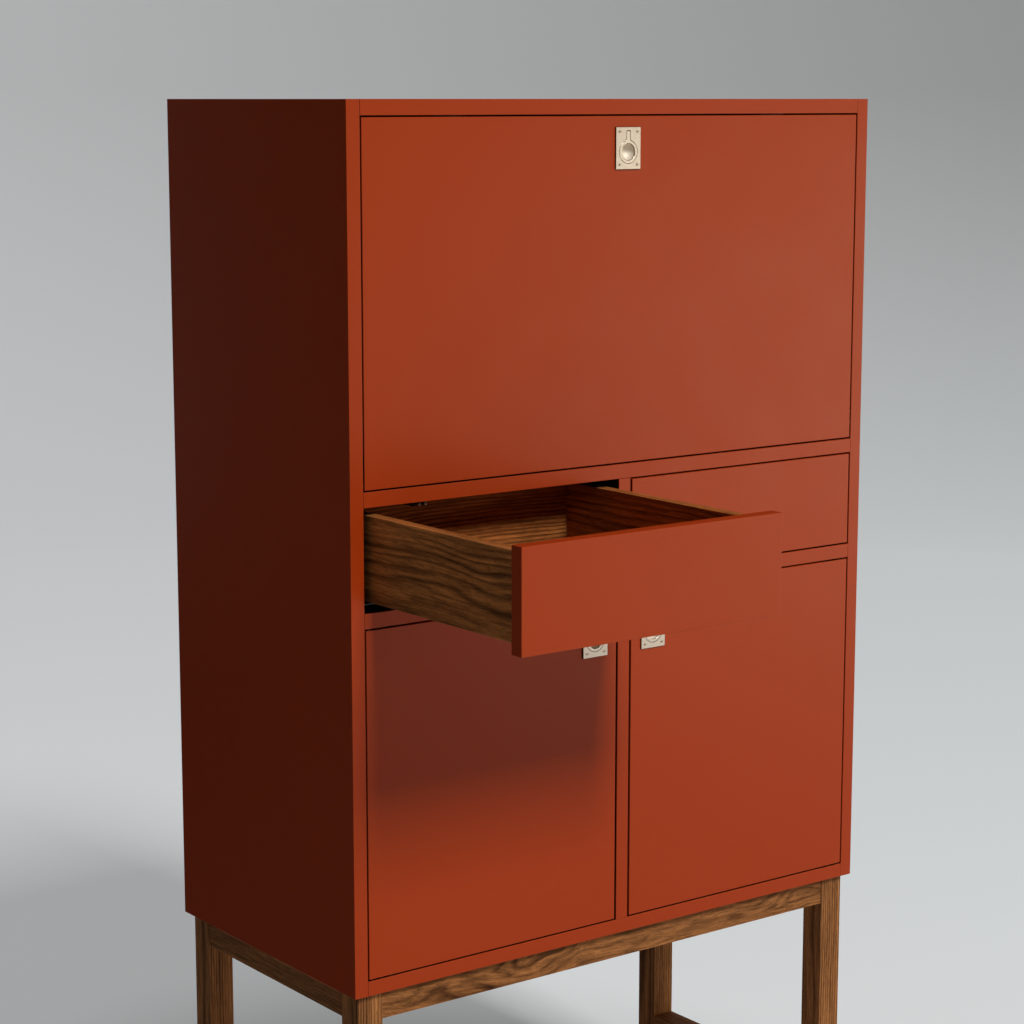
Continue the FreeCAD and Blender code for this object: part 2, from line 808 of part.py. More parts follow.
def add_pull(owner, at, board_name):
    """Set a pull in a panel's face: its plate, its screws and pin, and its ring."""
    copy_of(pull_plate, at, X, FORWARD, owner + "_pull_plate")
    copy_of(ring_body, at, X, FORWARD, owner + "_pull_ring")
    fixings[owner] += [copy_of(pull_screws, at, X, FORWARD), copy_of(pull_pin_master, at, X, FORWARD)]
    bored_by(copy_of(pull_housing, at, X, FORWARD), board_name)
    bored_by(copy_of(pull_bores, at, X, FORWARD), board_name)


add_pull("flap", ("0", "front", "flap_pull_z"), "flap_panel")
for side_name, side in SIDES.items():
    pull_at = (across(side, "door_pull_x"), "front", "door_pull_z")
    add_pull("door_" + side_name, pull_at, "door_" + side_name + "_panel")
for owner in ("flap", "door_left", "door_right"):
    keep(doc.getObject(owner + "_pull_plate"))
    keep(doc.getObject(owner + "_pull_ring"))

# Magnetic catches, and the strikes that they hold.

magnet_catches = []


def add_catch(centre_x, ceiling, owner, board_name):
    half = "catch_length / 2"
    low = (centre_x + " - " + half, "front_back + catch_gap", ceiling + " - catch_height")
    high = (centre_x + " + " + half, "front_back + catch_gap + catch_depth", ceiling)
    case = block(numbered("catch_case"), low, high)
    magnet_catches.append(eased(numbered("catch_case_eased"), case))
    strike_at = (centre_x, "front_back", ceiling + " - catch_height / 2")
    add_screw(fixings[owner], STRIKE, strike_at, BACK, board_name)


for side_name, side in SIDES.items():
    add_catch(across(side, "flap_catch_offset"), "bar_ceiling", "flap", "flap_panel")
    door = "door_" + side_name
    catch_x = across(side, "front_inner + door_catch_margin")
    add_catch(catch_x, "cupboard_ceiling", door, door + "_panel")

# Flap stays. The stud and the arm's eye lie at one distance from the flap's pivot, so the
# arm turns by exactly half the flap's angle, and the slot's end stops the flap when level.

arm_body = doc.addObject("PartDesign::Body", "stay_arm")
arm_sketch = sketch_on(arm_body, "arm_outline")
rectangle(arm_sketch, "0", "-stay_half_width", "stay_slot_end", "stay_half_width")
pad(arm_body, "arm_pad", arm_sketch, "stay_thickness")
for end_name, end_at in (("eye_end", "0"), ("stop_end", "stay_slot_end")):
    end_sketch = sketch_on(arm_body, end_name + "_outline")
    circle(end_sketch, end_at, "0", "stay_half_width")
    pad(arm_body, end_name, end_sketch, "stay_thickness")
slot_line_sketch = sketch_on(arm_body, "slot_outline", offset="stay_thickness")
rectangle(slot_line_sketch, "stay_slot_start", "-stay_slot_half", "stay_slot_end", "stay_slot_half")
pocket(arm_body, "slot", slot_line_sketch, "stay_thickness")
for end_name, end_at in (("slot_start", "stay_slot_start"), ("slot_stop", "stay_slot_end")):
    end_sketch = sketch_on(arm_body, end_name + "_outline", offset="stay_thickness")
    circle(end_sketch, end_at, "0", "stay_slot_half")
    pocket(arm_body, end_name, end_sketch, "stay_thickness")
arm_eye_sketch = sketch_on(arm_body, "arm_eye_outline", offset="stay_thickness")
circle(arm_eye_sketch, "0", "0", "rivet_radius + rivet_play")
pocket(arm_body, "arm_eye", arm_eye_sketch, "stay_thickness")

stay_brackets = []
for side_name, side in SIDES.items():
    run = Vector(0, value("stay_stud_y - stay_pivot_y"), value("stay_stud_z - stay_pivot_z"))
    run.normalize()
    arm_at = (across(side, "stay_inner_x"), "stay_pivot_y", "stay_pivot_z")
    keep(copy_of(arm_body, arm_at, tuple(run), outward(side), "stay_arm_" + side_name))
    stud_at = (across(side, "inner_half + stud_depth"), "stay_stud_y", "stay_stud_z")
    shank_length = "stud_depth + inner_half - bracket_outer_x"
    shank = rod("stud_shank_" + side_name, "stud_radius", stud_at, shank_length, inward(side))
    collar_at = (across(side, "inner_half"), "stay_stud_y", "stay_stud_z")
    collar_length = "stay_side_gap - stay_play"
    collar = rod(
        "stud_collar_" + side_name, "stud_collar_radius", collar_at, collar_length, inward(side)
    )
    head_at = (across(side, "bracket_outer_x"), "stay_stud_y", "stay_stud_z")
    head = rod("stud_head_" + side_name, "stud_head_radius", head_at, "stud_head_height", inward(side))
    cabinet_screws.append(joined("stay_stud_" + side_name, [shank, collar, head]))
    bored_by(shank, "side_panel_" + side_name)
    foot_x = span(side, "bracket_outer_x - bracket_foot", "bracket_outer_x")
    foot_low = (foot_x[0], "front_back", "stay_pivot_z - bracket_half_height")
    foot_high = (foot_x[1], "front_back + bracket_thickness", "stay_pivot_z + bracket_half_height")
    foot = block("bracket_foot_" + side_name, foot_low, foot_high)
    ear_x = span(side, "bracket_inner_x", "bracket_outer_x")
    ear_low = (ear_x[0], "front_back", "stay_pivot_z - stay_half_width")
    ear_high = (ear_x[1], "stay_pivot_y + stay_half_width", "stay_pivot_z + stay_half_width")
    ear = block("bracket_ear_" + side_name, ear_low, ear_high)
    rivet_at = (across(side, "bracket_inner_x"), "stay_pivot_y", "stay_pivot_z")
    rivet_length = "stay_outer_x + rivet_play - bracket_inner_x"
    rivet = rod("rivet_shank_" + side_name, "rivet_radius", rivet_at, rivet_length, outward(side))
    cap_at = (across(side, "stay_outer_x + rivet_play"), "stay_pivot_y", "stay_pivot_z")
    cap = rod("rivet_cap_" + side_name, "rivet_head_radius", cap_at, "rivet_head_height", outward(side))
    screw_tools = []
    for end in (LEFT, RIGHT):
        screw_at = (
            across(side, "bracket_outer_x - bracket_screw_reach"),
            "front_back + bracket_thickness",
            "stay_pivot_z + " + across(end, "bracket_half_height / 2"),
        )
        add_screw(fixings["flap"], SHORT, screw_at, BACK, "flap_panel")
        screw_tools.append(bores["flap_panel"][-1])
    angle = joined("bracket_angle_" + side_name, [foot, ear])
    stay_brackets.append(carved("bracket_" + side_name, angle, screw_tools + [rivet]))
    stay_brackets.append(joined("rivet_" + side_name, [rivet, cap]))

# Dowels of the carcass.

LEVELS = {
    "top_panel": "carcass_top - panel / 2",
    "bottom_panel": "stand_height + panel / 2",
    "bar_deck": "bar_floor - panel / 2",
    "cupboard_deck": "drawer_floor - panel / 2",
}
DOWEL_ROWS = ("front + dowel_margin", "0", "bay_back - dowel_margin")
for side_name, side in SIDES.items():
    for board_name, level in LEVELS.items():
        for row_y in DOWEL_ROWS:
            start = (across(side, "inner_half + dowel_anchor"), row_y, level)
            add_dowel(start, outward(side), "side_panel_" + side_name, board_name)


def fix_divider(name, low_deck, low, high_deck, high, margin):
    """Dowel a divider to the boards below and above it."""
    for row_y in ("front + " + margin, "bay_back - " + margin):
        add_dowel(("0", row_y, low + " - dowel_anchor"), DOWN, low_deck, name)
        add_dowel(("0", row_y, high + " + dowel_anchor"), UP, high_deck, name)


fix_divider(
    "drawer_divider",
    "cupboard_deck",
    "drawer_floor",
    "bar_deck",
    "drawer_ceiling",
    "divider_dowel_margin",
)
fix_divider(
    "door_divider",
    "bottom_panel",
    "cupboard_floor",
    "cupboard_deck",
    "cupboard_ceiling",
    "door_divider_dowel_margin",
)

# Shelves and their pins.

for side_name, side in SIDES.items():
    side_board = "side_panel_" + side_name
    bar_pin_z = "bar_shelf_low - shelf_pin_radius"
    low_pin_z = "cupboard_shelf_low - shelf_pin_radius"
    for pin_y in ("bay_back - bar_shelf_depth + shelf_pin_margin", "shelf_pin_back"):
        add_shelf_pin((across(side, "inner_half"), pin_y, bar_pin_z), inward(side), side_board)
    for pin_y in ("shelf_front + shelf_pin_margin", "shelf_pin_back"):
        add_shelf_pin((across(side, "inner_half"), pin_y, low_pin_z), inward(side), side_board)
        add_shelf_pin((across(side, "divider_half"), pin_y, low_pin_z), outward(side), "door_divider")

board(
    "bar_shelf",
    ("-inner_half + shelf_side_gap", "bay_back - bar_shelf_depth", "bar_shelf_low"),
    ("inner_half - shelf_side_gap", "bay_back - shelf_side_gap", "bar_shelf_low + shelf_thickness"),
)
board(
    "bar_floor_board",
    ("-inner_half", "floor_board_front", "bar_floor"),
    ("inner_half", "bay_back", "floor_board_top"),
)
cupboard_shelves = []
for side_name, side in SIDES.items():
    shelf_x = span(side, "divider_half + shelf_side_gap", "inner_half - shelf_side_gap")
    plain = block(
        "cupboard_shelf_" + side_name,
        (shelf_x[0], "shelf_front", "cupboard_shelf_low"),
        (shelf_x[1], "bay_back - shelf_side_gap", "cupboard_shelf_low + shelf_thickness"),
    )
    cupboard_shelves.append(eased("cupboard_shelf_eased_" + side_name, plain))
keep(group("cupboard_shelves", cupboard_shelves))

# Stand.

LEG_ENDS = {"front": LEFT, "back": RIGHT}
glides = []
for end_name, end in LEG_ENDS.items():
    for side_name, side in SIDES.items():
        leg_name = "leg_" + end_name + "_" + side_name
        glide_at = (
            across(side, "leg_outer_x - leg / 2"),
            across(end, "leg_outer_y - leg / 2"),
            "0",
        )
        glides.append(rod("glide_under_" + leg_name, "glide_radius", glide_at, "glide_thickness"))
        rail_mid = "stand_height - rail_height / 2"
        stretcher_mid = "stretcher_high - stretcher_height / 2"
        for step in (LEFT, RIGHT):
            lift = " + " + across(step, "rail_dowel_pitch / 2")
            rail_y = across(end, "leg_outer_y - rail_setback - rail_thickness / 2")
            start = (across(side, "leg_inner_x + dowel_anchor"), rail_y, rail_mid + lift)
            add_dowel(start, outward(side), leg_name, "rail_" + end_name)
            rail_x = across(side, "leg_outer_x - rail_setback - rail_thickness / 2")
            start = (rail_x, across(end, "leg_inner_y + dowel_anchor"), rail_mid + lift)
            add_dowel(start, (0, end, 0), leg_name, "rail_" + side_name)
            stretcher_x = across(side, "leg_outer_x - rail_setback - stretcher_thickness / 2")
            start = (stretcher_x, across(end, "leg_inner_y + dowel_anchor"), stretcher_mid + lift)
            add_dowel(start, (0, end, 0), leg_name, "stretcher_" + side_name)
for end_name, end in LEG_ENDS.items():
    for side in (LEFT, RIGHT):
        screw_y = across(end, "leg_outer_y - rail_setback - rail_thickness / 2")
        screw_at = (across(side, "stand_screw_offset"), screw_y, "rail_low")
        add_screw(cabinet_screws, FRAME, screw_at, DOWN, "rail_" + end_name, "bottom_panel")
for side_name, side in SIDES.items():
    for end in (LEFT, RIGHT):
        screw_x = across(side, "leg_outer_x - rail_setback - rail_thickness / 2")
        screw_at = (screw_x, across(end, "side_rail_screw_offset"), "rail_low")
        add_screw(cabinet_screws, FRAME, screw_at, DOWN, "rail_" + side_name, "bottom_panel")

for end_name, end in LEG_ENDS.items():
    for side_name, side in SIDES.items():
        leg_x = span(side, "leg_inner_x", "leg_outer_x")
        leg_y = span(end, "leg_inner_y", "leg_outer_y")
        leg_name = "leg_" + end_name + "_" + side_name
        low = (leg_x[0], leg_y[0], "glide_thickness")
        high = (leg_x[1], leg_y[1], "stand_height")
        board(leg_name, low, high, "leg_arris")
    rail_y = span(end, "leg_outer_y - rail_setback - rail_thickness", "leg_outer_y - rail_setback")
    low = ("-leg_inner_x", rail_y[0], "rail_low")
    high = ("leg_inner_x", rail_y[1], "stand_height")
    board("rail_" + end_name, low, high)
for side_name, side in SIDES.items():
    rail_x = span(side, "leg_outer_x - rail_setback - rail_thickness", "leg_outer_x - rail_setback")
    board(
        "rail_" + side_name,
        (rail_x[0], "-leg_inner_y", "rail_low"),
        (rail_x[1], "leg_inner_y", "stand_height"),
    )
    bar_x = span(side, "leg_outer_x - rail_setback - stretcher_thickness", "leg_outer_x - rail_setback")
    board(
        "stretcher_" + side_name,
        (bar_x[0], "-leg_inner_y", "stretcher_low"),
        (bar_x[1], "leg_inner_y", "stretcher_high"),
    )
keep(group("foot_glides", glides))

# Drawers: a red front on a walnut box that rides on hidden runners.

OPENED = {"left": "drawer_open", "right": "0"}
HALF_OPENED = {"left": "drawer_open / 2", "right": "0"}
runner_rails = []


def runner_strip(name, corners, wall, start):
    """A pressed strip along the drawer: its section is drawn from the wall inwards."""
    strip = doc.addObject("PartDesign::Body", name)
    section = sketch_on(strip, name + "_section", "XZ_Plane")
    outline(section, corners)
    pad(strip, name + "_pad", section, "runner_length", reverse=True)
    return place(strip, (wall, start, "drawer_floor"))


def mirrored_corners(corners, direction):
    return [(across(direction, x_text), z_text) for x_text, z_text in corners]


RAIL_SECTION = [
    ("runner_wall_gap", "runner_flange"),
    ("runner_wall_gap", "runner_lift"),
    ("track_far", "runner_lift"),
    ("track_far", "track_high"),
    ("track_far - runner_sheet", "track_high"),
    ("track_far - runner_sheet", "track_floor"),
    ("track_inset + runner_sheet", "track_floor"),
    ("track_inset + runner_sheet", "track_high"),
    ("track_inset", "track_high"),
    ("track_inset", "track_floor"),
    ("runner_wall_gap + runner_sheet", "track_floor"),
    ("runner_wall_gap + runner_sheet", "runner_flange"),
]
BAR_SECTION = [
    ("runner_bar_inset", "bar_low"),
    ("runner_bar_inset + runner_bar_width", "bar_low"),
    ("runner_bar_inset + runner_bar_width", "bar_high"),
    ("runner_bar_inset", "bar_high"),
]
RIDER_SECTION = [
    ("track_inset", "rider_low"),
    ("track_inset + runner_sheet", "rider_low"),
    ("track_inset + runner_sheet", "rider_ceiling"),
    ("track_far - runner_sheet", "rider_ceiling"),
    ("track_far - runner_sheet", "rider_low"),
    ("track_far", "rider_low"),
    ("track_far", "rider_top"),
    ("track_inset", "rider_top"),
]


def drawer(side_name, side):
    """One drawer with its front, box, bottom and the three members of its two runners."""
    stem = "drawer_" + side_name
    out = OPENED[side_name]
    moved = " - (" + out + ")"
    front_x = span(side, "front_inner", "front_outer")
    front_low = (front_x[0], "front" + moved, "drawer_front_low")
    front_high = (front_x[1], "front_back" + moved, "drawer_front_high")
    box_boards = []
    dowel_points = []
    for reach in ("box_inner + front_dowel_margin", "box_outer - front_dowel_margin"):
        dowel_points.append((across(side, reach), "front_back" + moved, "box_low + box_height / 2"))
    front_tools = []
    for at in dowel_points:
        low_at = along(at, FORWARD, "front_dowel_length / 2")
        pin = rod(numbered("front_dowel"), "dowel_radius", low_at, "front_dowel_length", BACK)
        bore_at = along(low_at, FORWARD, "dowel_end_gap")
        bore_length = "front_dowel_length + 2 * dowel_end_gap"
        bore_radius = "dowel_radius + dowel_play"
        front_tools.append(rod(numbered("front_bore"), bore_radius, bore_at, bore_length, BACK))
        box_boards.append(pin)
    for tool in front_tools:
        bored_by(tool, stem + "_front")
    board(stem + "_front", front_low, front_high)

    floor_x = span(side, "box_inner + box_side - box_groove", "box_outer - box_side + box_groove")
    floor = block(
        stem + "_bottom",
        (floor_x[0], "front_back" + moved, "box_bottom_low"),
        (floor_x[1], "box_back" + moved, "box_bottom_high"),
    )
    for near, far, end_name in (
        ("box_inner", "box_inner + box_side", "inner"),
        ("box_outer - box_side", "box_outer", "outer"),
    ):
        side_x = span(side, near, far)
        plain = block(
            stem + "_" + end_name + "_blank",
            (side_x[0], "front_back" + moved, "box_low"),
            (side_x[1], "box_back" + moved, "box_high"),
        )
        soft = eased(stem + "_" + end_name + "_eased", plain)
        box_boards.append(carved(stem + "_" + end_name + "_side", soft, [floor]))
    end_x = span(side, "box_inner + box_side", "box_outer - box_side")
    for low_y, high_y, end_name in (
        ("front_back", "front_back + box_side", "sub_front"),
        ("box_back - box_side", "box_back", "rear"),
    ):
        plain = block(
            stem + "_" + end_name + "_blank",
            (end_x[0], low_y + moved, "box_bottom_high"),
            (end_x[1], high_y + moved, "box_high"),
        )
        soft = eased(stem + "_" + end_name + "_eased", plain)
        if end_name == "sub_front":
            soft = carved(stem + "_sub_front_bored", soft, front_tools)
        box_boards.append(soft)
    keep(group(stem + "_box", box_boards))
    keep(floor)

    riders = []
    middles = []
    for wall_name, wall, turn in (
        ("outer", across(side, "inner_half"), -side),
        ("inner", across(side, "divider_half"), side),
    ):
        rail_name = stem + "_" + wall_name + "_rail"
        rail = runner_strip(rail_name, mirrored_corners(RAIL_SECTION, turn), wall, "runner_front")
        wall_board = "side_panel_" + side_name if wall_name == "outer" else "drawer_divider"
        stagger = "runner_screw_stagger" if side == RIGHT else "0"
        screw_tools = []
        for offset in ("runner_screw_margin", "runner_length - runner_screw_margin"):
            face_x = wall + " + " + across(turn, "runner_wall_gap + runner_sheet")
            screw_y = "runner_front + " + offset + " - " + stagger
            screw_at = (face_x, screw_y, "drawer_floor + runner_screw_height")
            add_screw(cabinet_screws, SHORT, screw_at, (turn, 0, 0), wall_board)
            screw_tools.append(bores[wall_board][-1])
        runner_rails.append(carved(rail_name + "_drilled", rail, screw_tools))
        middle_name = stem + "_" + wall_name + "_middle"
        middle_start = "runner_front - (" + HALF_OPENED[side_name] + ")"
        middles.append(runner_strip(middle_name, mirrored_corners(BAR_SECTION, turn), wall, middle_start))
        rider_name = stem + "_" + wall_name + "_rider"
        rider_start = "runner_front" + moved
        riders.append(runner_strip(rider_name, mirrored_corners(RIDER_SECTION, turn), wall, rider_start))
    keep(group(stem + "_runners", riders))
    keep(group("runner_middles_" + side_name, middles))


for side_name, side in SIDES.items():
    drawer(side_name, side)
keep(group("runner_rails", runner_rails))

# Push latches: a case under the bar deck, and two bright plungers behind each front.

latch_cases = []
for side_name, side in SIDES.items():
    centre = across(side, "inner_half - latch_margin")
    case = block(
        "latch_case_blank_" + side_name,
        (centre + " - latch_width / 2", "latch_front", "drawer_ceiling - latch_height"),
        (centre + " + latch_width / 2", "latch_front + latch_depth", "drawer_ceiling"),
    )
    soft_case = eased("latch_case_eased_" + side_name, case)
    plungers = []
    tools = []
    for step in (LEFT, RIGHT):
        plunger_x = centre + " + " + across(step, "plunger_pitch / 2")
        tip_at = (plunger_x, "plunger_tip", "plunger_z")
        length = "latch_front - plunger_tip + plunger_bore_depth - plunger_travel - plunger_play"
        plungers.append(rod(numbered("plunger"), "plunger_radius", tip_at, length, BACK))
        bore_at = (plunger_x, "latch_front", "plunger_z")
        bore_radius = "plunger_radius + plunger_play"
        tools.append(rod(numbered("plunger_bore"), bore_radius, bore_at, "plunger_bore_depth", BACK))
    latch_cases.append(carved("latch_case_" + side_name, soft_case, tools))
    keep(group("latch_plungers_" + side_name, plungers))
keep(group("touch_latches", latch_cases))

# Screws of the back panel: along the sides, and into the back edge of each board.

for side_name, side in SIDES.items():
    for screw_z in (
        "cupboard_floor + back_screw_margin",
        "cupboard_ceiling - back_screw_margin",
        "bar_floor + back_screw_margin",
        "bar_ceiling - back_screw_margin",
    ):
        screw_at = (across(side, "inner_half + back_rebate / 2"), "back", screw_z)
        add_screw(cabinet_screws, BACKING, screw_at, BACK, "back_panel", "side_panel_" + side_name)
for board_name, screw_z in (
    ("top_panel", "bar_ceiling + back_rebate / 2"),
    ("bar_deck", "bar_floor - panel / 2"),
    ("cupboard_deck", "drawer_floor - panel / 2"),
    ("bottom_panel", "cupboard_floor - back_rebate / 2"),
):
    for screw_x in ("-half_width + back_screw_margin", "0", "half_width - back_screw_margin"):
        screw_at = (screw_x, "back", screw_z)
        add_screw(cabinet_screws, BACKING, screw_at, BACK, "back_panel", board_name)

# Carcass boards, with everything that is let into them.

for side_name, side in SIDES.items():
    rebate_x = span(side, "inner_half", "back_half")
    rebate_low = (rebate_x[0], "bay_back", "stand_height + panel - back_rebate")
    rebate_high = (rebate_x[1], "back + panel", "bar_ceiling + back_rebate")
    bored_by(block("side_rebate_" + side_name, rebate_low, rebate_high), "side_panel_" + side_name)
    side_x = span(side, "inner_half", "half_width")
    board(
        "side_panel_" + side_name,
        (side_x[0], "front", "stand_height"),
        (side_x[1], "back", "carcass_top"),
    )
back_space = block(
    "end_rebate",
    ("-half_width", "bay_back", "stand_height + panel - back_rebate"),
    ("half_width", "back + panel", "bar_ceiling + back_rebate"),
)
bored_by(back_space, "top_panel", "bottom_panel")
for board_name, low_z, high_z in (
    ("top_panel", "bar_ceiling", "carcass_top"),
    ("bottom_panel", "stand_height", "cupboard_floor"),
):
    board(board_name, ("-inner_half", "front", low_z), ("inner_half", "back", high_z))
for board_name, low_z, high_z in (
    ("bar_deck", "drawer_ceiling", "bar_floor"),
    ("cupboard_deck", "cupboard_ceiling", "drawer_floor"),
):
    board(board_name, ("-inner_half", "front", low_z), ("inner_half", "bay_back", high_z))
for board_name, low_z, high_z in (
    ("drawer_divider", "drawer_floor", "drawer_ceiling"),
    ("door_divider", "cupboard_floor", "cupboard_ceiling"),
):
    board(board_name, ("-divider_half", "front", low_z), ("divider_half", "bay_back", high_z))
board(
    "back_panel",
    ("-back_half", "bay_back", "stand_height + panel - back_rebate"),
    ("back_half", "back", "bar_ceiling + back_rebate"),
)

# Flap and doors.

board(
    "flap_panel",
    ("-flap_half", "front", "flap_low"),
    ("flap_half", "front_back", "flap_high"),
)
for side_name, side in SIDES.items():
    door_x = span(side, "front_inner", "front_outer")
    board(
        "door_" + side_name + "_panel",
        (door_x[0], "front", "door_low"),
        (door_x[1], "front_back", "door_high"),
    )

# Groups of like pieces.

for owner in ("flap", "door_left", "door_right"):
    keep(group(owner + "_hinge_leaves", hinge_leaves[owner]))
    keep(group(owner + "_fixings", fixings[owner]))
keep(group("flap_stay_brackets", stay_brackets))
keep(group("hinge_plates", hinge_plates))
keep(group("magnet_catches", magnet_catches))
keep(group("dowels", dowels))
keep(group("cabinet_screws", cabinet_screws))
keep(group("shelf_pins", shelf_pins))

# Check the document, then write each sub-part.

doc.recompute()
broken = [
    thing.Name for thing in doc.Objects if "Invalid" in thing.State or "Error" in thing.State
]
if broken:
    raise RuntimeError("these objects failed: " + ", ".join(broken))
for node in nodes:
    if node.Shape.isNull() or not node.Shape.isValid():
        raise RuntimeError("bad shape in " + node.Label)
for node in nodes:
    node.Shape.exportStep("parts/" + node.Label + ".step")
print("wrote", len(nodes), "sub-parts")
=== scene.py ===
# %% [markdown]
# # A lacquered bar cabinet on a walnut stand
#
# The cabinet's boards, hinges, drawers and screws are already made at their real size, and this
# script loads them as a fixed frame. What is left is how the cabinet looks: its lacquer, its
# walnut, its metal, the light on it and the place it is seen from. Each step below says what a
# finish is on the real cabinet, how it could be made, and why it is made this way.

# %% Load the cabinet
import math

import bmesh
import bpy
from mathutils import Matrix, Vector


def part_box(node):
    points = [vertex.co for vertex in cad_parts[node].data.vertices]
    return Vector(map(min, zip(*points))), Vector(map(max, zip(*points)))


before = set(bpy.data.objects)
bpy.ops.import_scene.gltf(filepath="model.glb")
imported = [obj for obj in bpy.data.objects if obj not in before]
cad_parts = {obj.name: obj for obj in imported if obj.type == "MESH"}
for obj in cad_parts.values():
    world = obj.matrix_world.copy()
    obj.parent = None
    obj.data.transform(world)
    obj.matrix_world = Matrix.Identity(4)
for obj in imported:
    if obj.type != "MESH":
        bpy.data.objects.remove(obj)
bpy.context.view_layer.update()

# %% [markdown]
# ## The camera
#
# The top of the cabinet shows as a bare line, so the eye is exactly as high as the top. The
# front is seen from its left, which also shows the left side. A tilted camera could be swapped
# for a level one with a strong lens shift, as architects do, but a shift stays on the camera in
# every other view and pushes the cabinet out of the frame there. So the camera tilts.

# %% The camera
TOP_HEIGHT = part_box("top_panel")[1].z
CAMERA_PLACE = Vector((-1.914, -2.524, TOP_HEIGHT))
CAMERA_TURN = math.radians(-36.85)
CAMERA_TILT = math.radians(9.417)
CAMERA_LENS = 87.57
LEVEL = math.pi / 2

camera = bpy.data.objects.new("camera", bpy.data.cameras.new("camera"))
bpy.context.scene.collection.objects.link(camera)
camera.location = CAMERA_PLACE
camera.rotation_euler = (LEVEL - CAMERA_TILT, 0, CAMERA_TURN)
camera.data.lens = CAMERA_LENS
bpy.context.scene.camera = camera
print("camera at", [round(number, 3) for number in camera.location])

# %% [markdown]
# ## The studio
#
# The cabinet stands in a round studio of pale paper: the floor curves up into a wall on every
# side, so that no line shows where they meet, wherever it is seen from. A plane and four walls
# would need joins and corners. Here one point is pushed out from the middle, swung through a
# quarter turn and pushed up, which draws a section, and the section is spun once round.

# %% The section of the sweep
SWEEP_FLAT = 5.0
SWEEP_CURVE = 2.5
SWEEP_HEIGHT = 11.0
CURVE_STEPS = 16


def pushed(form, corner, step):
    """Extrude a point by a step and return the new point."""
    grown = bmesh.ops.extrude_vert_indiv(form, verts=[corner])["verts"]
    bmesh.ops.translate(form, verts=grown, vec=step)
    return grown[0]


sweep_form = bmesh.new()
middle = bmesh.ops.create_vert(sweep_form, co=(0, 0, 0))["vert"][0]
floor_end = pushed(sweep_form, middle, (SWEEP_FLAT, 0, 0))
curved = bmesh.ops.spin(
    sweep_form,
    geom=[floor_end],
    cent=(SWEEP_FLAT, 0, SWEEP_CURVE),
    axis=(0, -1, 0),
    angle=math.pi / 2,
    steps=CURVE_STEPS,
)
curve_end = next(part for part in curved["geom_last"] if isinstance(part, bmesh.types.BMVert))
pushed(sweep_form, curve_end, (0, 0, SWEEP_HEIGHT - SWEEP_CURVE))
print("points of the section:", len(sweep_form.verts))

# %% [markdown]
# The section is spun through a full turn, and its first and last copies, which lie on one
# another, are joined. A spin can leave a skin inside out, so the faces are turned to agree, and
# then all of them are turned over if the floor looks down. The sweep casts no shadow, because
# the lamps stand outside it.

# %% The round paper sweep
ROUND_STEPS = 96
JOIN_DISTANCE = 0.0001

bmesh.ops.spin(
    sweep_form,
    geom=sweep_form.verts[:] + sweep_form.edges[:],
    cent=(0, 0, 0),
    axis=(0, 0, 1),
    angle=2 * math.pi,
    steps=ROUND_STEPS,
)
bmesh.ops.remove_doubles(sweep_form, verts=sweep_form.verts, dist=JOIN_DISTANCE)
bmesh.ops.recalc_face_normals(sweep_form, faces=sweep_form.faces)
if min(sweep_form.faces, key=lambda face: face.calc_center_median().length).normal.z < 0:
    bmesh.ops.reverse_faces(sweep_form, faces=sweep_form.faces)

sweep_mesh = bpy.data.meshes.new("paper_sweep")
sweep_form.to_mesh(sweep_mesh)
sweep_form.free()
sweep_mesh.shade_smooth()
sweep = bpy.data.objects.new("paper_sweep", sweep_mesh)
bpy.context.scene.collection.objects.link(sweep)
sweep.visible_shadow = False
print("sweep faces:", len(sweep_mesh.polygons), "span:", [round(side, 2) for side in sweep.dimensions])

# %% [markdown]
# ## The light
#
# A tall, narrow softbox hangs straight in front of the cabinet, high up. It lights the front
# evenly, only grazes the sides, and throws the open drawer's shadow straight down on the left
# door: nearly sharp at its sides, because the box is narrow, and soft below, because it is tall.
# A broad, weak panel, a little warmer, stands low at the right. It gives the lacquer its sheen,
# and the nickel something pale to reflect. A bright room would do both with less work, but it
# would lift the dark left side. The panel's spread is narrowed, so that it leaves no bright
# patch on the floor.

# %% The softboxes
FRONT_MIDDLE = (0, -0.2, 0.95)
KEY_PLACE = (0.3, -12.2, 11.8)
KEY_SIZE = (2.7, 4.2)
KEY_POWER = 2200
PANEL_PLACE = (2.98, -2.45, 0.80)
PANEL_SIZE = (2.5, 1.5)
PANEL_POWER = 10
PANEL_COLOUR = (1.0, 0.93, 0.72)
PANEL_SPREAD = math.radians(95)


def add_softbox(name, place, target, size, power):
    """A rectangular lamp at a place, turned to a target, that the camera doesn't see."""
    lamp = bpy.data.lights.new(name, "AREA")
    lamp.shape = "RECTANGLE"
    lamp.size, lamp.size_y = size
    lamp.energy = power
    box = bpy.data.objects.new(name, lamp)
    bpy.context.scene.collection.objects.link(box)
    box.location = place
    box.rotation_euler = (Vector(target) - Vector(place)).to_track_quat("-Z", "Y").to_euler()
    box.visible_camera = False
    return box


key = add_softbox("key_softbox", KEY_PLACE, FRONT_MIDDLE, KEY_SIZE, KEY_POWER)
panel = add_softbox("right_panel", PANEL_PLACE, FRONT_MIDDLE, PANEL_SIZE, PANEL_POWER)
panel.data.spread = PANEL_SPREAD
panel.data.color = PANEL_COLOUR
print("lamps:", [lamp.name for lamp in (key, panel)])

# %% [markdown]
# ## Building shaders from nodes
#
# Each finish is a small network of nodes. Writing `tree.nodes.new` for every one hides what the
# network does, so a few helpers make a node, a sum, a noise or a mix in one line each. All of
# them take either a plain value or another node's output, and link or set it as it needs.

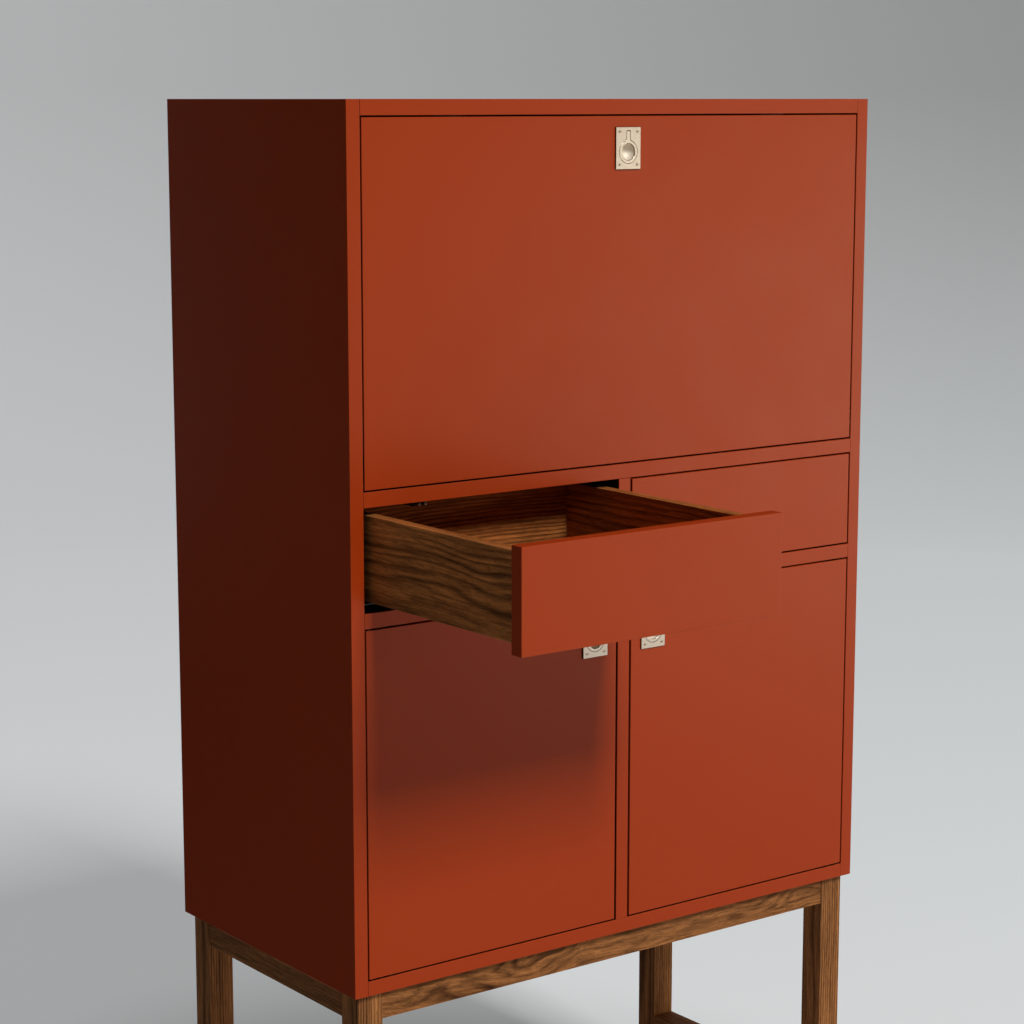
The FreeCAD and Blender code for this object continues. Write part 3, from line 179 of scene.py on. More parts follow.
# %% Helpers for single nodes
def wire(tree, inputs, values):
    """Link to a node's inputs the values that are sockets, and set the others there."""
    for name, given in values.items():
        if isinstance(given, bpy.types.NodeSocket):
            tree.links.new(given, inputs[name])
        else:
            inputs[name].default_value = given


def add_node(tree, kind, values=None, **settings):
    """Add a node. Values go to its sockets by name or number, settings to the node itself."""
    made = tree.nodes.new("ShaderNode" + kind)
    for name, setting in settings.items():
        setattr(made, name, setting)
    wire(tree, made.inputs, values or {})
    return made


def sum_of(tree, operation, *values):
    """A Math node's result."""
    return add_node(tree, "Math", dict(enumerate(values)), operation=operation).outputs[0]


def vector_of(tree, operation, *values):
    """A Vector Math node's result."""
    made = add_node(tree, "VectorMath", dict(enumerate(values)), operation=operation)
    return made.outputs["Value" if operation in ("LENGTH", "DOT_PRODUCT") else "Vector"]


def parts_of(tree, vector):
    """The X, Y and Z of a vector."""
    return add_node(tree, "SeparateXYZ", {0: vector}).outputs


print("helpers for single nodes: wire, add_node, sum_of, vector_of, parts_of")

# %% [markdown]
# Four things come up in every finish. A value is carried from one range to another, a noise is
# drawn out in one direction, a noise swings something between two levels, and two colours are
# mixed by a share. A noise may reach from 0 to 1, but nearly all of it lies between 0.3 and
# 0.7, so its levels are counted from those two ends.

# %% Helpers for ranges, noise and mixes
NOISE_LOW = 0.3
NOISE_HIGH = 0.7


def ranged(tree, value, from_low, from_high, to_low=0.0, to_high=1.0, smooth=False):
    """A value carried from one range to another, and kept within it."""
    made = add_node(
        tree,
        "MapRange",
        {
            "Value": value,
            "From Min": from_low,
            "From Max": from_high,
            "To Min": to_low,
            "To Max": to_high,
        },
        interpolation_type="SMOOTHSTEP" if smooth else "LINEAR",
    )
    return made.outputs["Result"]


def noise(tree, vector, stretch=(1, 1, 1), scale=1.0, detail=2.0, roughness=0.5, output="Fac"):
    """Noise on stretched coordinates: a large number makes the pattern small that way."""
    stretched = vector_of(tree, "MULTIPLY", vector, stretch)
    values = {"Vector": stretched, "Scale": scale, "Detail": detail, "Roughness": roughness}
    return add_node(tree, "TexNoise", values).outputs[output]


def swung(tree, pattern, low, high):
    """A level that swings from low to high with a noise."""
    return ranged(tree, pattern, NOISE_LOW, NOISE_HIGH, low, high)


def mixed(tree, share, first, second, data_type="RGBA", blend_type="MIX"):
    """Two colours or two vectors mixed by a share."""
    made = add_node(tree, "Mix", data_type=data_type, blend_type=blend_type)
    inputs = {socket.name: socket for socket in made.inputs if socket.enabled}
    wire(tree, inputs, {"Factor": share, "A": first, "B": second})
    return next(socket for socket in made.outputs if socket.enabled)


print("helpers for ranges: ranged, noise, swung, mixed")

# %% [markdown]
# An effect that several finishes share is a group: a network of its own with named inputs and
# outputs, like a tool on a bench. It is built once and placed in each material with that
# material's own values.

# %% Helpers for groups and materials
def new_group(name, inputs, outputs):
    """A node group with named sockets. Returns it, its input sockets and its output sockets."""
    group = bpy.data.node_groups.new(name, "ShaderNodeTree")
    for label, kind, default in inputs:
        socket = group.interface.new_socket(label, in_out="INPUT", socket_type="NodeSocket" + kind)
        if default is not None:
            socket.default_value = default
    for label, kind in outputs:
        group.interface.new_socket(label, in_out="OUTPUT", socket_type="NodeSocket" + kind)
    start = group.nodes.new("NodeGroupInput")
    end = group.nodes.new("NodeGroupOutput")
    return group, start.outputs, end.inputs


def use_group(tree, group, values):
    """A group placed in a material. Returns its output sockets."""
    return add_node(tree, "Group", values, node_tree=group).outputs


def new_material(name):
    """A material with its tree, its Principled shader and its object coordinates."""
    material = bpy.data.materials.new(name)
    material.use_nodes = True
    tree = material.node_tree
    shader = tree.nodes["Principled BSDF"]
    place = add_node(tree, "TexCoord").outputs["Object"]
    return material, tree, shader, place


def bumped(tree, height, distance):
    """A normal from a height, whose full rise is a real distance in metres."""
    return add_node(tree, "Bump", {"Height": height, "Distance": distance}).outputs[0]


print("helpers for groups: new_group, use_group, new_material, bumped")

# %% [markdown]
# ## The room
#
# The room behind the sweep adds next to nothing, but a mirror or the camera may look over the
# paper's edge, and must not find a black hole there. One strength for all would be simpler, and
# would either light the dark side or leave the hole. So the world tells the rays apart: it is
# dim for light, and brighter for the camera, for reflections and for glass.

# %% The room
ROOM_LIGHT = 0.03
ROOM_SEEN = 0.3
WHITE = (1, 1, 1, 1)

world = bpy.data.worlds.new("studio_room")
bpy.context.scene.world = world
world.use_nodes = True
tree = world.node_tree
rays = add_node(tree, "LightPath").outputs
mirrored = sum_of(tree, "MAXIMUM", rays["Is Glossy Ray"], rays["Is Transmission Ray"])
seen = sum_of(tree, "MAXIMUM", rays["Is Camera Ray"], mirrored)
strength = ranged(tree, seen, 0, 1, ROOM_LIGHT, ROOM_SEEN)
wire(tree, tree.nodes["Background"].inputs, {"Color": WHITE, "Strength": strength})
bpy.context.scene.view_settings.view_transform = "Standard"
print("room:", ROOM_LIGHT, "as light,", ROOM_SEEN, "as seen")

# %% [markdown]
# ## Paper of the sweep
#
# Studio paper is matt and pale. In the picture it is brighter than the light on the cabinet
# would make it, and lit unevenly: it darkens towards the top and the right of the wall. More
# lamps would also light the dark side of the cabinet. So the paper adds a glow of its own, only
# where the camera, a reflection or a glass looks at it, and the cabinet's shadow still falls on
# it. The glow fades fastest low on the wall, which a square root of the height gives.

# %% The colours of the paper
PAPER = (0.54, 0.555, 0.56, 1)
PAPER_IN_FRONT = (0.68, 0.69, 0.69, 1)
GLOW_LOW_LEFT = (0.352, 0.354, 0.362, 1)
GLOW_LOW_RIGHT = (0.315, 0.335, 0.335, 1)
GLOW_HIGH_LEFT = (0.150, 0.150, 0.150, 1)
GLOW_HIGH_RIGHT = (0.015, 0.013, 0.010, 1)
GLOW_FRONT_LOW = (0.10, 0.10, 0.10, 1)
GLOW_FRONT_HIGH = (0.40, 0.40, 0.40, 1)
GLOW_SPAN = 2.0
GLOW_TOP_BEHIND = 1.5
GLOW_TOP_IN_FRONT = 2.5
FRONT_ENDS = -1.5
BACK_STARTS = 0.5

CAMERA_AXES = Matrix.Rotation(CAMERA_TURN, 3, "Z")
RIGHTWARD = tuple(CAMERA_AXES @ Vector((1, 0, 0)))
FORWARD = tuple(CAMERA_AXES @ Vector((0, 1, 0)))

paper, tree, shader, place = new_material("sweep_paper")
height = parts_of(tree, place)["Z"]
to_right = ranged(tree, vector_of(tree, "DOT_PRODUCT", place, RIGHTWARD), -GLOW_SPAN, GLOW_SPAN)
low_glow = mixed(tree, to_right, GLOW_LOW_LEFT, GLOW_LOW_RIGHT)
high_glow = mixed(tree, to_right, GLOW_HIGH_LEFT, GLOW_HIGH_RIGHT)
back_rise = sum_of(tree, "SQRT", ranged(tree, height, 0.0, GLOW_TOP_BEHIND))
back_glow = mixed(tree, back_rise, low_glow, high_glow)
front_rise = ranged(tree, height, 0.0, GLOW_TOP_IN_FRONT)
front_glow = mixed(tree, front_rise, GLOW_FRONT_LOW, GLOW_FRONT_HIGH)
behind = ranged(tree, vector_of(tree, "DOT_PRODUCT", place, FORWARD), FRONT_ENDS, BACK_STARTS)
glow = mixed(tree, behind, front_glow, back_glow)
whiteness = mixed(tree, behind, PAPER_IN_FRONT, PAPER)
print("the view runs along", [round(number, 2) for number in FORWARD])

# %% [markdown]
# Two things hold the glow and the light back. Near the stand the paper glows less, as the
# cabinet would keep the room's light off it. And for the light that paper throws on, the wall
# above the floor counts as a dark curtain: a round white wall would shine on the cabinet from
# all sides, and its left side has to stay dark.

# %% Where the paper glows
CURTAIN = (0.02, 0.02, 0.02, 1)
CURTAIN_STARTS = 0.1
CURTAIN_FULL = 0.8
SHADED_NEAR = 0.25
SHADED_FAR = 1.05
SHADED_SHARE = 0.3
SHADED_STRETCH = (1.4, 1, 1)
PAPER_ROUGHNESS = 0.9
MATT_SHINE = 0.1

rays = add_node(tree, "LightPath").outputs
curtain_share = ranged(tree, height, CURTAIN_STARTS, CURTAIN_FULL)
curtained = sum_of(tree, "MULTIPLY", rays["Is Diffuse Ray"], curtain_share)
whiteness = mixed(tree, curtained, whiteness, CURTAIN)
from_stand = vector_of(tree, "LENGTH", vector_of(tree, "MULTIPLY", place, SHADED_STRETCH))
open_share = ranged(tree, from_stand, SHADED_NEAR, SHADED_FAR, SHADED_SHARE, 1.0, smooth=True)
mirrored = sum_of(tree, "MAXIMUM", rays["Is Glossy Ray"], rays["Is Transmission Ray"])
mirrored = sum_of(tree, "MULTIPLY", mirrored, behind)
seen = sum_of(tree, "MAXIMUM", rays["Is Camera Ray"], mirrored)
wire(
    tree,
    shader.inputs,
    {
        "Base Color": whiteness,
        "Roughness": PAPER_ROUGHNESS,
        "Specular IOR Level": MATT_SHINE,
        "Emission Color": glow,
        "Emission Strength": sum_of(tree, "MULTIPLY", seen, open_share),
    },
)
sweep.data.materials.append(paper)
print("material:", paper.name, "nodes:", len(tree.nodes))

# %% [markdown]
# ## Black flags
#
# A satin surface mixes its colour with whatever stands opposite, and pale paper all round would
# turn the deep red to pink. A photographer stands a black card beside the object and lays a
# black cloth on the floor there, out of the picture, so that the dark side stays dark. The same
# two do it here, at the cabinet's left. They show in reflections only, and cast no shadow.

# %% Flag cloth
FLAG_BLACK = (0.012, 0.012, 0.012, 1)
WEAVE_SCALE = 900.0
FLAG_SMOOTH = 0.85
FLAG_ROUGH = 1.0

flag_cloth, tree, shader, place = new_material("flag_cloth")
weave = noise(tree, place, scale=WEAVE_SCALE)
wire(
    tree,
    shader.inputs,
    {
        "Base Color": FLAG_BLACK,
        "Roughness": swung(tree, weave, FLAG_SMOOTH, FLAG_ROUGH),
        "Specular IOR Level": MATT_SHINE,
    },
)
print("material:", flag_cloth.name)

# %% The two flags
CARD_SIZE = (8.0, 5.0)
CARD_MIDDLE = (-2.3, 1.8, 2.5)
CLOTH_SIZE = (1.8, 8.0)
CLOTH_MIDDLE = (-1.4, 1.8, 0.002)
TO_CABINET = (1, 0, 0)
UPWARD = (0, 0, 1)


def add_flag(name, size, middle, facing):
    """A flat card of a size, with its face turned to a direction."""
    form = bmesh.new()
    turn = Vector(facing).to_track_quat("Z", "Y").to_matrix().to_4x4()
    stretch = Matrix.Diagonal((size[0], size[1], 1, 1))
    bmesh.ops.create_grid(form, x_segments=1, y_segments=1, size=0.5, matrix=turn @ stretch)
    bmesh.ops.translate(form, verts=form.verts, vec=middle)
    mesh = bpy.data.meshes.new(name)
    form.to_mesh(mesh)
    form.free()
    mesh.materials.append(flag_cloth)
    flag = bpy.data.objects.new(name, mesh)
    bpy.context.scene.collection.objects.link(flag)
    flag.visible_camera = False
    flag.visible_diffuse = False
    flag.visible_shadow = False
    return flag


side_flag = add_flag("side_flag", CARD_SIZE, CARD_MIDDLE, TO_CABINET)
side_cloth = add_flag("side_cloth", CLOTH_SIZE, CLOTH_MIDDLE, UPWARD)
for flag in (side_flag, side_cloth):
    print(flag.name, "spans", [round(side, 2) for side in flag.dimensions])

# %% [markdown]
# ## A group that finds the edges of a board
#
# Paint is thinner on a sharp edge, and hands and cloths polish it there. The mesh could carry
# painted masks, or a Bevel node could look for edges at render time, but a board is a plain
# block, so its edges can be worked out: measure how deep a point lies under each pair of faces,
# and the middle one of the three depths is the distance to the nearest edge.

# %% The board edge group
edge_group, given, made = new_group(
    "board_edge",
    [
        ("Vector", "Vector", None),
        ("Centre", "Vector", None),
        ("Half Size", "Vector", None),
        ("Width", "Float", 0.001),
    ],
    [("Edge", "Float")],
)


def depths_in(tree, place, centre, half_size):
    """How deep a point lies under the faces of a block, along X, Y and Z."""
    offset = vector_of(tree, "ABSOLUTE", vector_of(tree, "SUBTRACT", place, centre))
    return parts_of(tree, vector_of(tree, "SUBTRACT", half_size, offset))


tree = edge_group
depths = depths_in(tree, given["Vector"], given["Centre"], given["Half Size"])
lower = sum_of(tree, "MINIMUM", depths["X"], depths["Y"])
higher = sum_of(tree, "MAXIMUM", depths["X"], depths["Y"])
nearest = sum_of(tree, "MAXIMUM", lower, sum_of(tree, "MINIMUM", higher, depths["Z"]))
edge_share = ranged(tree, nearest, 0.0, given["Width"], 1.0, 0.0, smooth=True)
wire(tree, made, {"Edge": edge_share})
print("group:", edge_group.name)

# %% [markdown]
# ## Satin lacquer
#
# The panels are sprayed with a terracotta lacquer and left satin. Sprayed paint dries with
# orange peel, shallow waves a few millimetres across, and its gloss is never quite even. The
# colour could be one flat value, but then large panels look like plastic sheet. Here a group
# gives the waves and two slow clouds, and each board has its own slight tone.

# %% The sprayed film group
WAVE_DETAIL = 1.5
LONG_WAVE_SCALE = 45.0
LONG_WAVE_RISE = 1.6
GLOSS_CLOUD_SCALE = 14.0
TONE_CLOUD_SCALE = 2.2

film_group, given, made = new_group(
    "sprayed_film",
    [("Vector", "Vector", None), ("Wave Size", "Float", 0.003)],
    [("Height", "Float"), ("Gloss Cloud", "Float"), ("Tone Cloud", "Float")],
)
tree = film_group
per_wave = sum_of(tree, "DIVIDE", 1.0, given["Wave Size"])
waves = noise(tree, given["Vector"], scale=per_wave, detail=WAVE_DETAIL)
long_waves = noise(tree, given["Vector"], scale=LONG_WAVE_SCALE, detail=1.0)
height = sum_of(tree, "MULTIPLY_ADD", long_waves, LONG_WAVE_RISE, waves)
gloss_cloud = noise(tree, given["Vector"], scale=GLOSS_CLOUD_SCALE, detail=4.0)
tone_cloud = noise(tree, given["Vector"], scale=TONE_CLOUD_SCALE, detail=2.0)
wire(tree, made, {"Height": height, "Gloss Cloud": gloss_cloud, "Tone Cloud": tone_cloud})
print("group:", film_group.name)

# %% [markdown]
# Where a shelf or a divider butts against a side panel, the joint shows through the paint as a
# thin dark line. Behind the front edges, the faces inside the carcass are coloured nearly black:
# a painted shade, as dark as the open drawer's bay. Both could be pieces or faces of their own. A
# board is a plain block, so both can be told from where a point lies. The space between the
# boards is taken half a millimetre larger, so that their inner faces lie in it, and shorter at
# the front, where their edges stay red.

# %% Joints and insides
SEAM_WIDTH = 0.0005
SEAM_AXES = {
    "top_panel": "X",
    "bottom_panel": "X",
    "bar_deck": "X",
    "cupboard_deck": "X",
    "drawer_divider": "Z",
    "door_divider": "Z",
}
# How far the painted shade inside the carcass reaches past the boards' faces.
SHADE_REACH = 0.0005
FRONT_EDGE_DEPTH = 0.0015


def form_of(low, high):
    """The centre of a box and half its size."""
    return (low + high) / 2, (high - low) / 2


def board_form(node_name):
    """The centre of a board's box and half its size."""
    return form_of(*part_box(node_name))


left_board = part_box("side_panel_left")
right_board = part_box("side_panel_right")
inside_low = Vector((left_board[1].x, left_board[0].y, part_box("bottom_panel")[1].z))
inside_high = Vector((right_board[0].x, right_board[1].y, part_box("top_panel")[0].z))
shaded = Vector((SHADE_REACH, -FRONT_EDGE_DEPTH, SHADE_REACH))
INSIDE_FORM = form_of(inside_low - shaded, inside_high + shaded)


def seam_share(tree, place, node_name):
    """One at the ends of a board that butts against another, where the joint shows as a line."""
    centre, half_size = board_form(node_name)
    axis = SEAM_AXES[node_name]
    number = "XYZ".index(axis)
    along = parts_of(tree, place)[axis]
    offset = sum_of(tree, "ABSOLUTE", sum_of(tree, "SUBTRACT", along, centre[number]))
    end = half_size[number]
    return ranged(tree, offset, end - SEAM_WIDTH, end - SEAM_WIDTH / 2)


def inside_share(tree, place):
    """One on the faces inside the carcass, which get a painted shade."""
    depths = depths_in(tree, place, *INSIDE_FORM)
    least = sum_of(tree, "MINIMUM", depths["X"], depths["Y"])
    least = sum_of(tree, "MINIMUM", least, depths["Z"])
    return sum_of(tree, "GREATER_THAN", least, 0.0)


print("boards with a joint line:", len(SEAM_AXES))
print("half of the stained inside:", [round(side, 4) for side in INSIDE_FORM[1]])

# %% [markdown]
# One board's lacquer puts these together: its own tone, worn edges, then the joint line and the
# painted shade inside. The shine is low, because a satin film reflects the studio only softly.

# %% The lacquer of one board
LACQUER = (0.322, 0.031, 0.0022, 1)
LACQUER_LIGHT = (0.348, 0.038, 0.0035, 1)
LACQUER_RUBBED = (0.40, 0.065, 0.018, 1)
# Nearly black: a painted shade for the faces inside the carcass.
INSIDE_SHADE = (0.010, 0.006, 0.005, 1)
SEAM = (0.09, 0.008, 0.002, 1)
LACQUER_SHINE = 0.17
SATIN_SMOOTH = 0.32
SATIN_ROUGH = 0.38
PEEL_SIZE = 0.0026
PEEL_RISE = 0.00005
WORN_WIDTH = 0.0012
WEAR_ENDS = (0.35, 0.7)
WEAR_LEVELS = (0.05, 0.4)
TONE_CLOUD_SHARE = 0.5
TONE_STEP = 0.03
BOARD_TONES = 7
CARCASS_BOARDS = tuple(SEAM_AXES) + ("side_panel_left", "side_panel_right", "back_panel")


def edge_of(tree, place, centre, half_size):
    """The share of wear along a board's edges."""
    sockets = {"Vector": place, "Centre": centre, "Half Size": half_size, "Width": WORN_WIDTH}
    return use_group(tree, edge_group, sockets)["Edge"]


def lacquer_for(node_name, number):
    """The lacquer of one board, with its edges in the right place and a tone of its own."""
    material, tree, shader, place = new_material("lacquer_" + node_name)
    film = use_group(tree, film_group, {"Vector": place, "Wave Size": PEEL_SIZE})
    board_tone = TONE_STEP * (number % BOARD_TONES)
    tone = sum_of(tree, "MULTIPLY_ADD", film["Tone Cloud"], TONE_CLOUD_SHARE, board_tone)
    colour = mixed(tree, tone, LACQUER, LACQUER_LIGHT)
    wear = ranged(tree, film["Gloss Cloud"], *WEAR_ENDS, *WEAR_LEVELS)
    worn = sum_of(tree, "MULTIPLY", edge_of(tree, place, *board_form(node_name)), wear)
    colour = mixed(tree, worn, colour, LACQUER_RUBBED)
    if node_name in SEAM_AXES:
        colour = mixed(tree, seam_share(tree, place, node_name), colour, SEAM)
    # Inside the carcass the colour turns to a painted shade.
    if node_name in CARCASS_BOARDS:
        colour = mixed(tree, inside_share(tree, place), colour, INSIDE_SHADE)
    wire(
        tree,
        shader.inputs,
        {
            "Base Color": colour,
            "Roughness": swung(tree, film["Gloss Cloud"], SATIN_SMOOTH, SATIN_ROUGH),
            "Specular IOR Level": LACQUER_SHINE,
            "Normal": bumped(tree, film["Height"], PEEL_RISE),
        },
    )
    return material


print("boards of the carcass:", len(CARCASS_BOARDS))

# %% [markdown]
# Every lacquered board gets a material of its own, because its edges and its tone are its own.
# The order of the list gives each its tone, so neighbours differ a little, as sprayed boards do.

# %% Lacquer the boards
LACQUERED = (
    "side_panel_left",
    "side_panel_right",
    "top_panel",
    "bottom_panel",
    "bar_deck",
    "cupboard_deck",
    "drawer_divider",
    "door_divider",
    "back_panel",
    "flap_panel",
    "door_left_panel",
    "door_right_panel",
    "drawer_left_front",
    "drawer_right_front",
)
dressed = set()


def dress(node_name, material):
    """Give a piece of the frame its material."""
    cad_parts[node_name].material_slots[0].material = material
    dressed.add(node_name)


for number, node_name in enumerate(LACQUERED):
    dress(node_name, lacquer_for(node_name, number))
print("lacquered boards:", len(LACQUERED))

# %% [markdown]
# ## Walnut
#
# Walnut's figure comes from the tree: rings, cut lengthways by the saw, show as long lines that
# bend where the trunk bent, and as pointed arches where the saw ran near the core. Short dark
# pores run along the grain, and broad bands of light and dark cross the boards slowly. A
# stretched image would do on one face, but the lines would not run on round a corner. So the
# group draws the tree itself: stretched round shells in the wood's own space, bent by slow
# noise, and each board is cut out of it at another place.

# %% The walnut group: rings around the core of the tree
walnut_group, given, made = new_group(
    "sawn_wood",
    [
        ("Vector", "Vector", None),
        ("Ring Width", "Float", 0.0036),
        ("Core", "Vector", None),
        ("Swirl", "Float", 0.02),
        ("Light", "Color", (0.5, 0.3, 0.1, 1)),
        ("Dark", "Color", (0.1, 0.05, 0.02, 1)),
        ("Pores", "Float", 1.0),
        ("Banding", "Float", 0.35),
        ("Contrast", "Float", 0.65),
    ],
    [("Color", "Color"), ("Roughness", "Float"), ("Height", "Float")],
)
TAPER = (0.055, 1, 1)
HALF = (0.5, 0.5, 0.5)
SLOW_BEND = (4.5, 11.0, 11.0)
QUICK_BEND = (16.0, 60.0, 60.0)
QUICK_BEND_SHARE = 0.08
UNEVEN_STRETCH = (1.0, 90.0, 90.0)
UNEVEN_SHARE = 0.9
tree = walnut_group


def bent_by(tree, vector, stretch, amount):
    """Push coordinates sideways by noise, so that straight lines wander."""
    wander = vector_of(tree, "SUBTRACT", noise(tree, vector, stretch, output="Color"), HALF)
    sideways = add_node(tree, "CombineXYZ", {"Y": amount, "Z": amount}).outputs[0]
    return vector_of(tree, "ADD", vector, vector_of(tree, "MULTIPLY", wander, sideways))


grain = bent_by(tree, given["Vector"], SLOW_BEND, given["Swirl"])
quick_swirl = sum_of(tree, "MULTIPLY", given["Swirl"], QUICK_BEND_SHARE)
grain = bent_by(tree, grain, QUICK_BEND, quick_swirl)
from_core = vector_of(tree, "SUBTRACT", grain, given["Core"])
core_distance = vector_of(tree, "LENGTH", vector_of(tree, "MULTIPLY", from_core, TAPER))
uneven = noise(tree, grain, UNEVEN_STRETCH, detail=1.0)
ring_count = sum_of(tree, "DIVIDE", core_distance, given["Ring Width"])
ring_count = sum_of(tree, "MULTIPLY_ADD", uneven, UNEVEN_SHARE, ring_count)
print("group:", walnut_group.name, "so far, nodes:", len(tree.nodes))

# %% [markdown]
# One ring is a year's growth: pale early wood that darkens slowly, and then a thin dark line of
# late wood. A sine wave would give even stripes. A colour ramp over each ring draws the real
# course instead, steep on one side and slow on the other.

# %% The walnut group: the course of one ring
RING_START = 0.6
RING_COURSE = ((0.10, 0.12), (0.35, 0.0), (0.60, 0.35), (0.84, 1.0))
FADING_STRETCH = (2.5, 32.0, 32.0)
FADING_ENDS = (0.40, 0.58)
FADED_RING = 0.30

ring_ramp = add_node(tree, "ValToRGB", {"Fac": sum_of(tree, "FRACT", ring_count)})
ring_stops = ring_ramp.color_ramp.elements
for end in (0, 1):
    ring_stops[end].position = float(end)
    ring_stops[end].color = (RING_START, RING_START, RING_START, 1)
for position, darkness in RING_COURSE:
    stop = ring_stops.new(position)
    stop.color = (darkness, darkness, darkness, 1)
ring_dark = add_node(tree, "RGBToBW", {0: ring_ramp.outputs["Color"]}).outputs[0]
fading = noise(tree, grain, FADING_STRETCH)
ring_strength = ranged(tree, fading, *FADING_ENDS, FADED_RING, 1.0)
rings = sum_of(tree, "MULTIPLY", ring_dark, ring_strength)
print("ring stops:", len(ring_stops))

# %% [markdown]
# Over the rings lie the slow bands, the fine fibres and streaks that shimmer along the grain,
# and the pores, which are darkest and lie a little deeper than the wood around them.

# %% The walnut group: bands, fibres and pores
BAND_STRETCH = (2.2, 75.0, 75.0)
BAND_ENDS = (0.36, 0.66)
FIBRE_STRETCH = (55.0, 1100.0, 1100.0)
FIBRE_LEVELS = (0.82, 1.15)
STREAK_STRETCH = (14.0, 330.0, 330.0)
STREAK_ENDS = (0.32, 0.68)
STREAK_LEVELS = (0.55, 1.38)
PORE_STRETCH = (75.0, 1500.0, 1500.0)
PORE_ENDS = (0.56, 0.68)

bands = ranged(tree, noise(tree, grain, BAND_STRETCH, detail=3.0), *BAND_ENDS)
fibres = noise(tree, grain, FIBRE_STRETCH)
streaks = noise(tree, grain, STREAK_STRETCH, detail=4.0, roughness=0.7)
streak_level = ranged(tree, streaks, *STREAK_ENDS, *STREAK_LEVELS)
shimmer = sum_of(tree, "MULTIPLY", swung(tree, fibres, *FIBRE_LEVELS), streak_level)
pores = ranged(tree, noise(tree, grain, PORE_STRETCH, detail=1.0), *PORE_ENDS)
pores = sum_of(tree, "MULTIPLY", pores, given["Pores"])
print("layers of the walnut: rings, bands, fibres, streaks, pores")

# %% [markdown]
# The layers come together one by one: first the figure of rings and bands, then the shimmer
# that brightens and darkens it, then the pores. Pores are dull, so they add to the roughness,
# and they lie low, so they are taken from the height. Three groups could do this, but one keeps
# colour, gloss and height in step.

# %% The walnut group: its colour, its gloss and its height
PORE_DARK = (0.006, 0.003, 0.0015, 1)
PORE_TINT = 0.35
PORE_SHARE = 0.45
PORE_ROUGHER = 0.2
FIBRE_RISE = 0.3
WALNUT_SMOOTH = 0.42
WALNUT_ROUGH = 0.54

ring_shade = sum_of(tree, "MULTIPLY", rings, given["Contrast"])
shade = sum_of(tree, "MULTIPLY_ADD", bands, given["Banding"], ring_shade)
figure = mixed(tree, shade, given["Light"], given["Dark"])
shimmer = add_node(tree, "CombineColor", {0: shimmer, 1: shimmer, 2: shimmer}).outputs[0]
fibred = mixed(tree, 1.0, figure, shimmer, blend_type="MULTIPLY")
pore_colour = mixed(tree, PORE_TINT, PORE_DARK, given["Dark"])
pored = mixed(tree, sum_of(tree, "MULTIPLY", pores, PORE_SHARE), fibred, pore_colour)
gloss = swung(tree, fibres, WALNUT_SMOOTH, WALNUT_ROUGH)
roughness = sum_of(tree, "MULTIPLY_ADD", pores, PORE_ROUGHER, gloss)
fibre_height = sum_of(tree, "MULTIPLY", fibres, FIBRE_RISE)
height = sum_of(tree, "SUBTRACT", fibre_height, pores)
wire(tree, made, {"Color": pored, "Roughness": roughness, "Height": height})
print("group:", walnut_group.name, "nodes:", len(walnut_group.nodes))

# %% [markdown]
# The group draws its tree along X. A leg stands upright and a drawer side runs back, so each
# board first turns its coordinates until X runs along its own grain. Then it slides to another
# part of the tree, so that no two boards are alike.

# %% Which way the grain runs
GRAIN_TURNS = {
    "X": (0, 0, 0),
    "Y": (0, 0, -math.pi / 2),
    "Z": (0, math.pi / 2, 0),
}


def grain_place(tree, place, centre, axis, slide):
    """Coordinates whose X runs along the grain, with the board cut out of the tree at a slide."""
    centred = vector_of(tree, "SUBTRACT", place, centre)
    turn = {"Vector": centred, "Rotation": GRAIN_TURNS[axis]}
    turned = add_node(tree, "VectorRotate", turn, rotation_type="EULER_XYZ").outputs[0]
    return vector_of(tree, "ADD", turned, slide)


print("grain can run along:", sorted(GRAIN_TURNS))

# %% [markdown]
# A drawer box is one piece of the frame but four boards: two sides with the grain running back,
# and a sub-front and a rear between them with the grain running across. They could be made
# anew, board by board, but their shapes are already right. It is enough to turn the grain
# wherever a point lies between the two sides.

# %% Grain of the drawer boxes
DRAWER_BOXES = ("drawer_left_box", "drawer_right_box")
BOX_SIDE = 0.015
CROSS_SLIDE = Vector((0.9, 0.13, 0.27))


def turned_between_sides(tree, place, centre, half_size, grain, slide):
    """The grain of the sides, or the cross grain of the boards between them."""
    across = grain_place(tree, place, centre, "X", slide + CROSS_SLIDE)
    offset = sum_of(tree, "SUBTRACT", parts_of(tree, place)["X"], centre.x)
    offset = sum_of(tree, "ABSOLUTE", offset)
    between = sum_of(tree, "LESS_THAN", offset, half_size.x - BOX_SIDE)
    return mixed(tree, between, grain, across, data_type="VECTOR")


print("drawer boxes:", len(DRAWER_BOXES))

# %% [markdown]
# A walnut board joins the turned grain, the group and the same worn edges as the lacquer. Oiled
# wood hardly shines, so most of what it reflects is left out.

# %% The walnut of one board
WALNUT_DARK = (0.045, 0.0135, 0.0040, 1)
WALNUT_RUBBED = (0.42, 0.19, 0.075, 1)
RUBBED_SHARE = 0.4
WALNUT_SHINE = 0.05
GRAIN_RISE = 0.00012


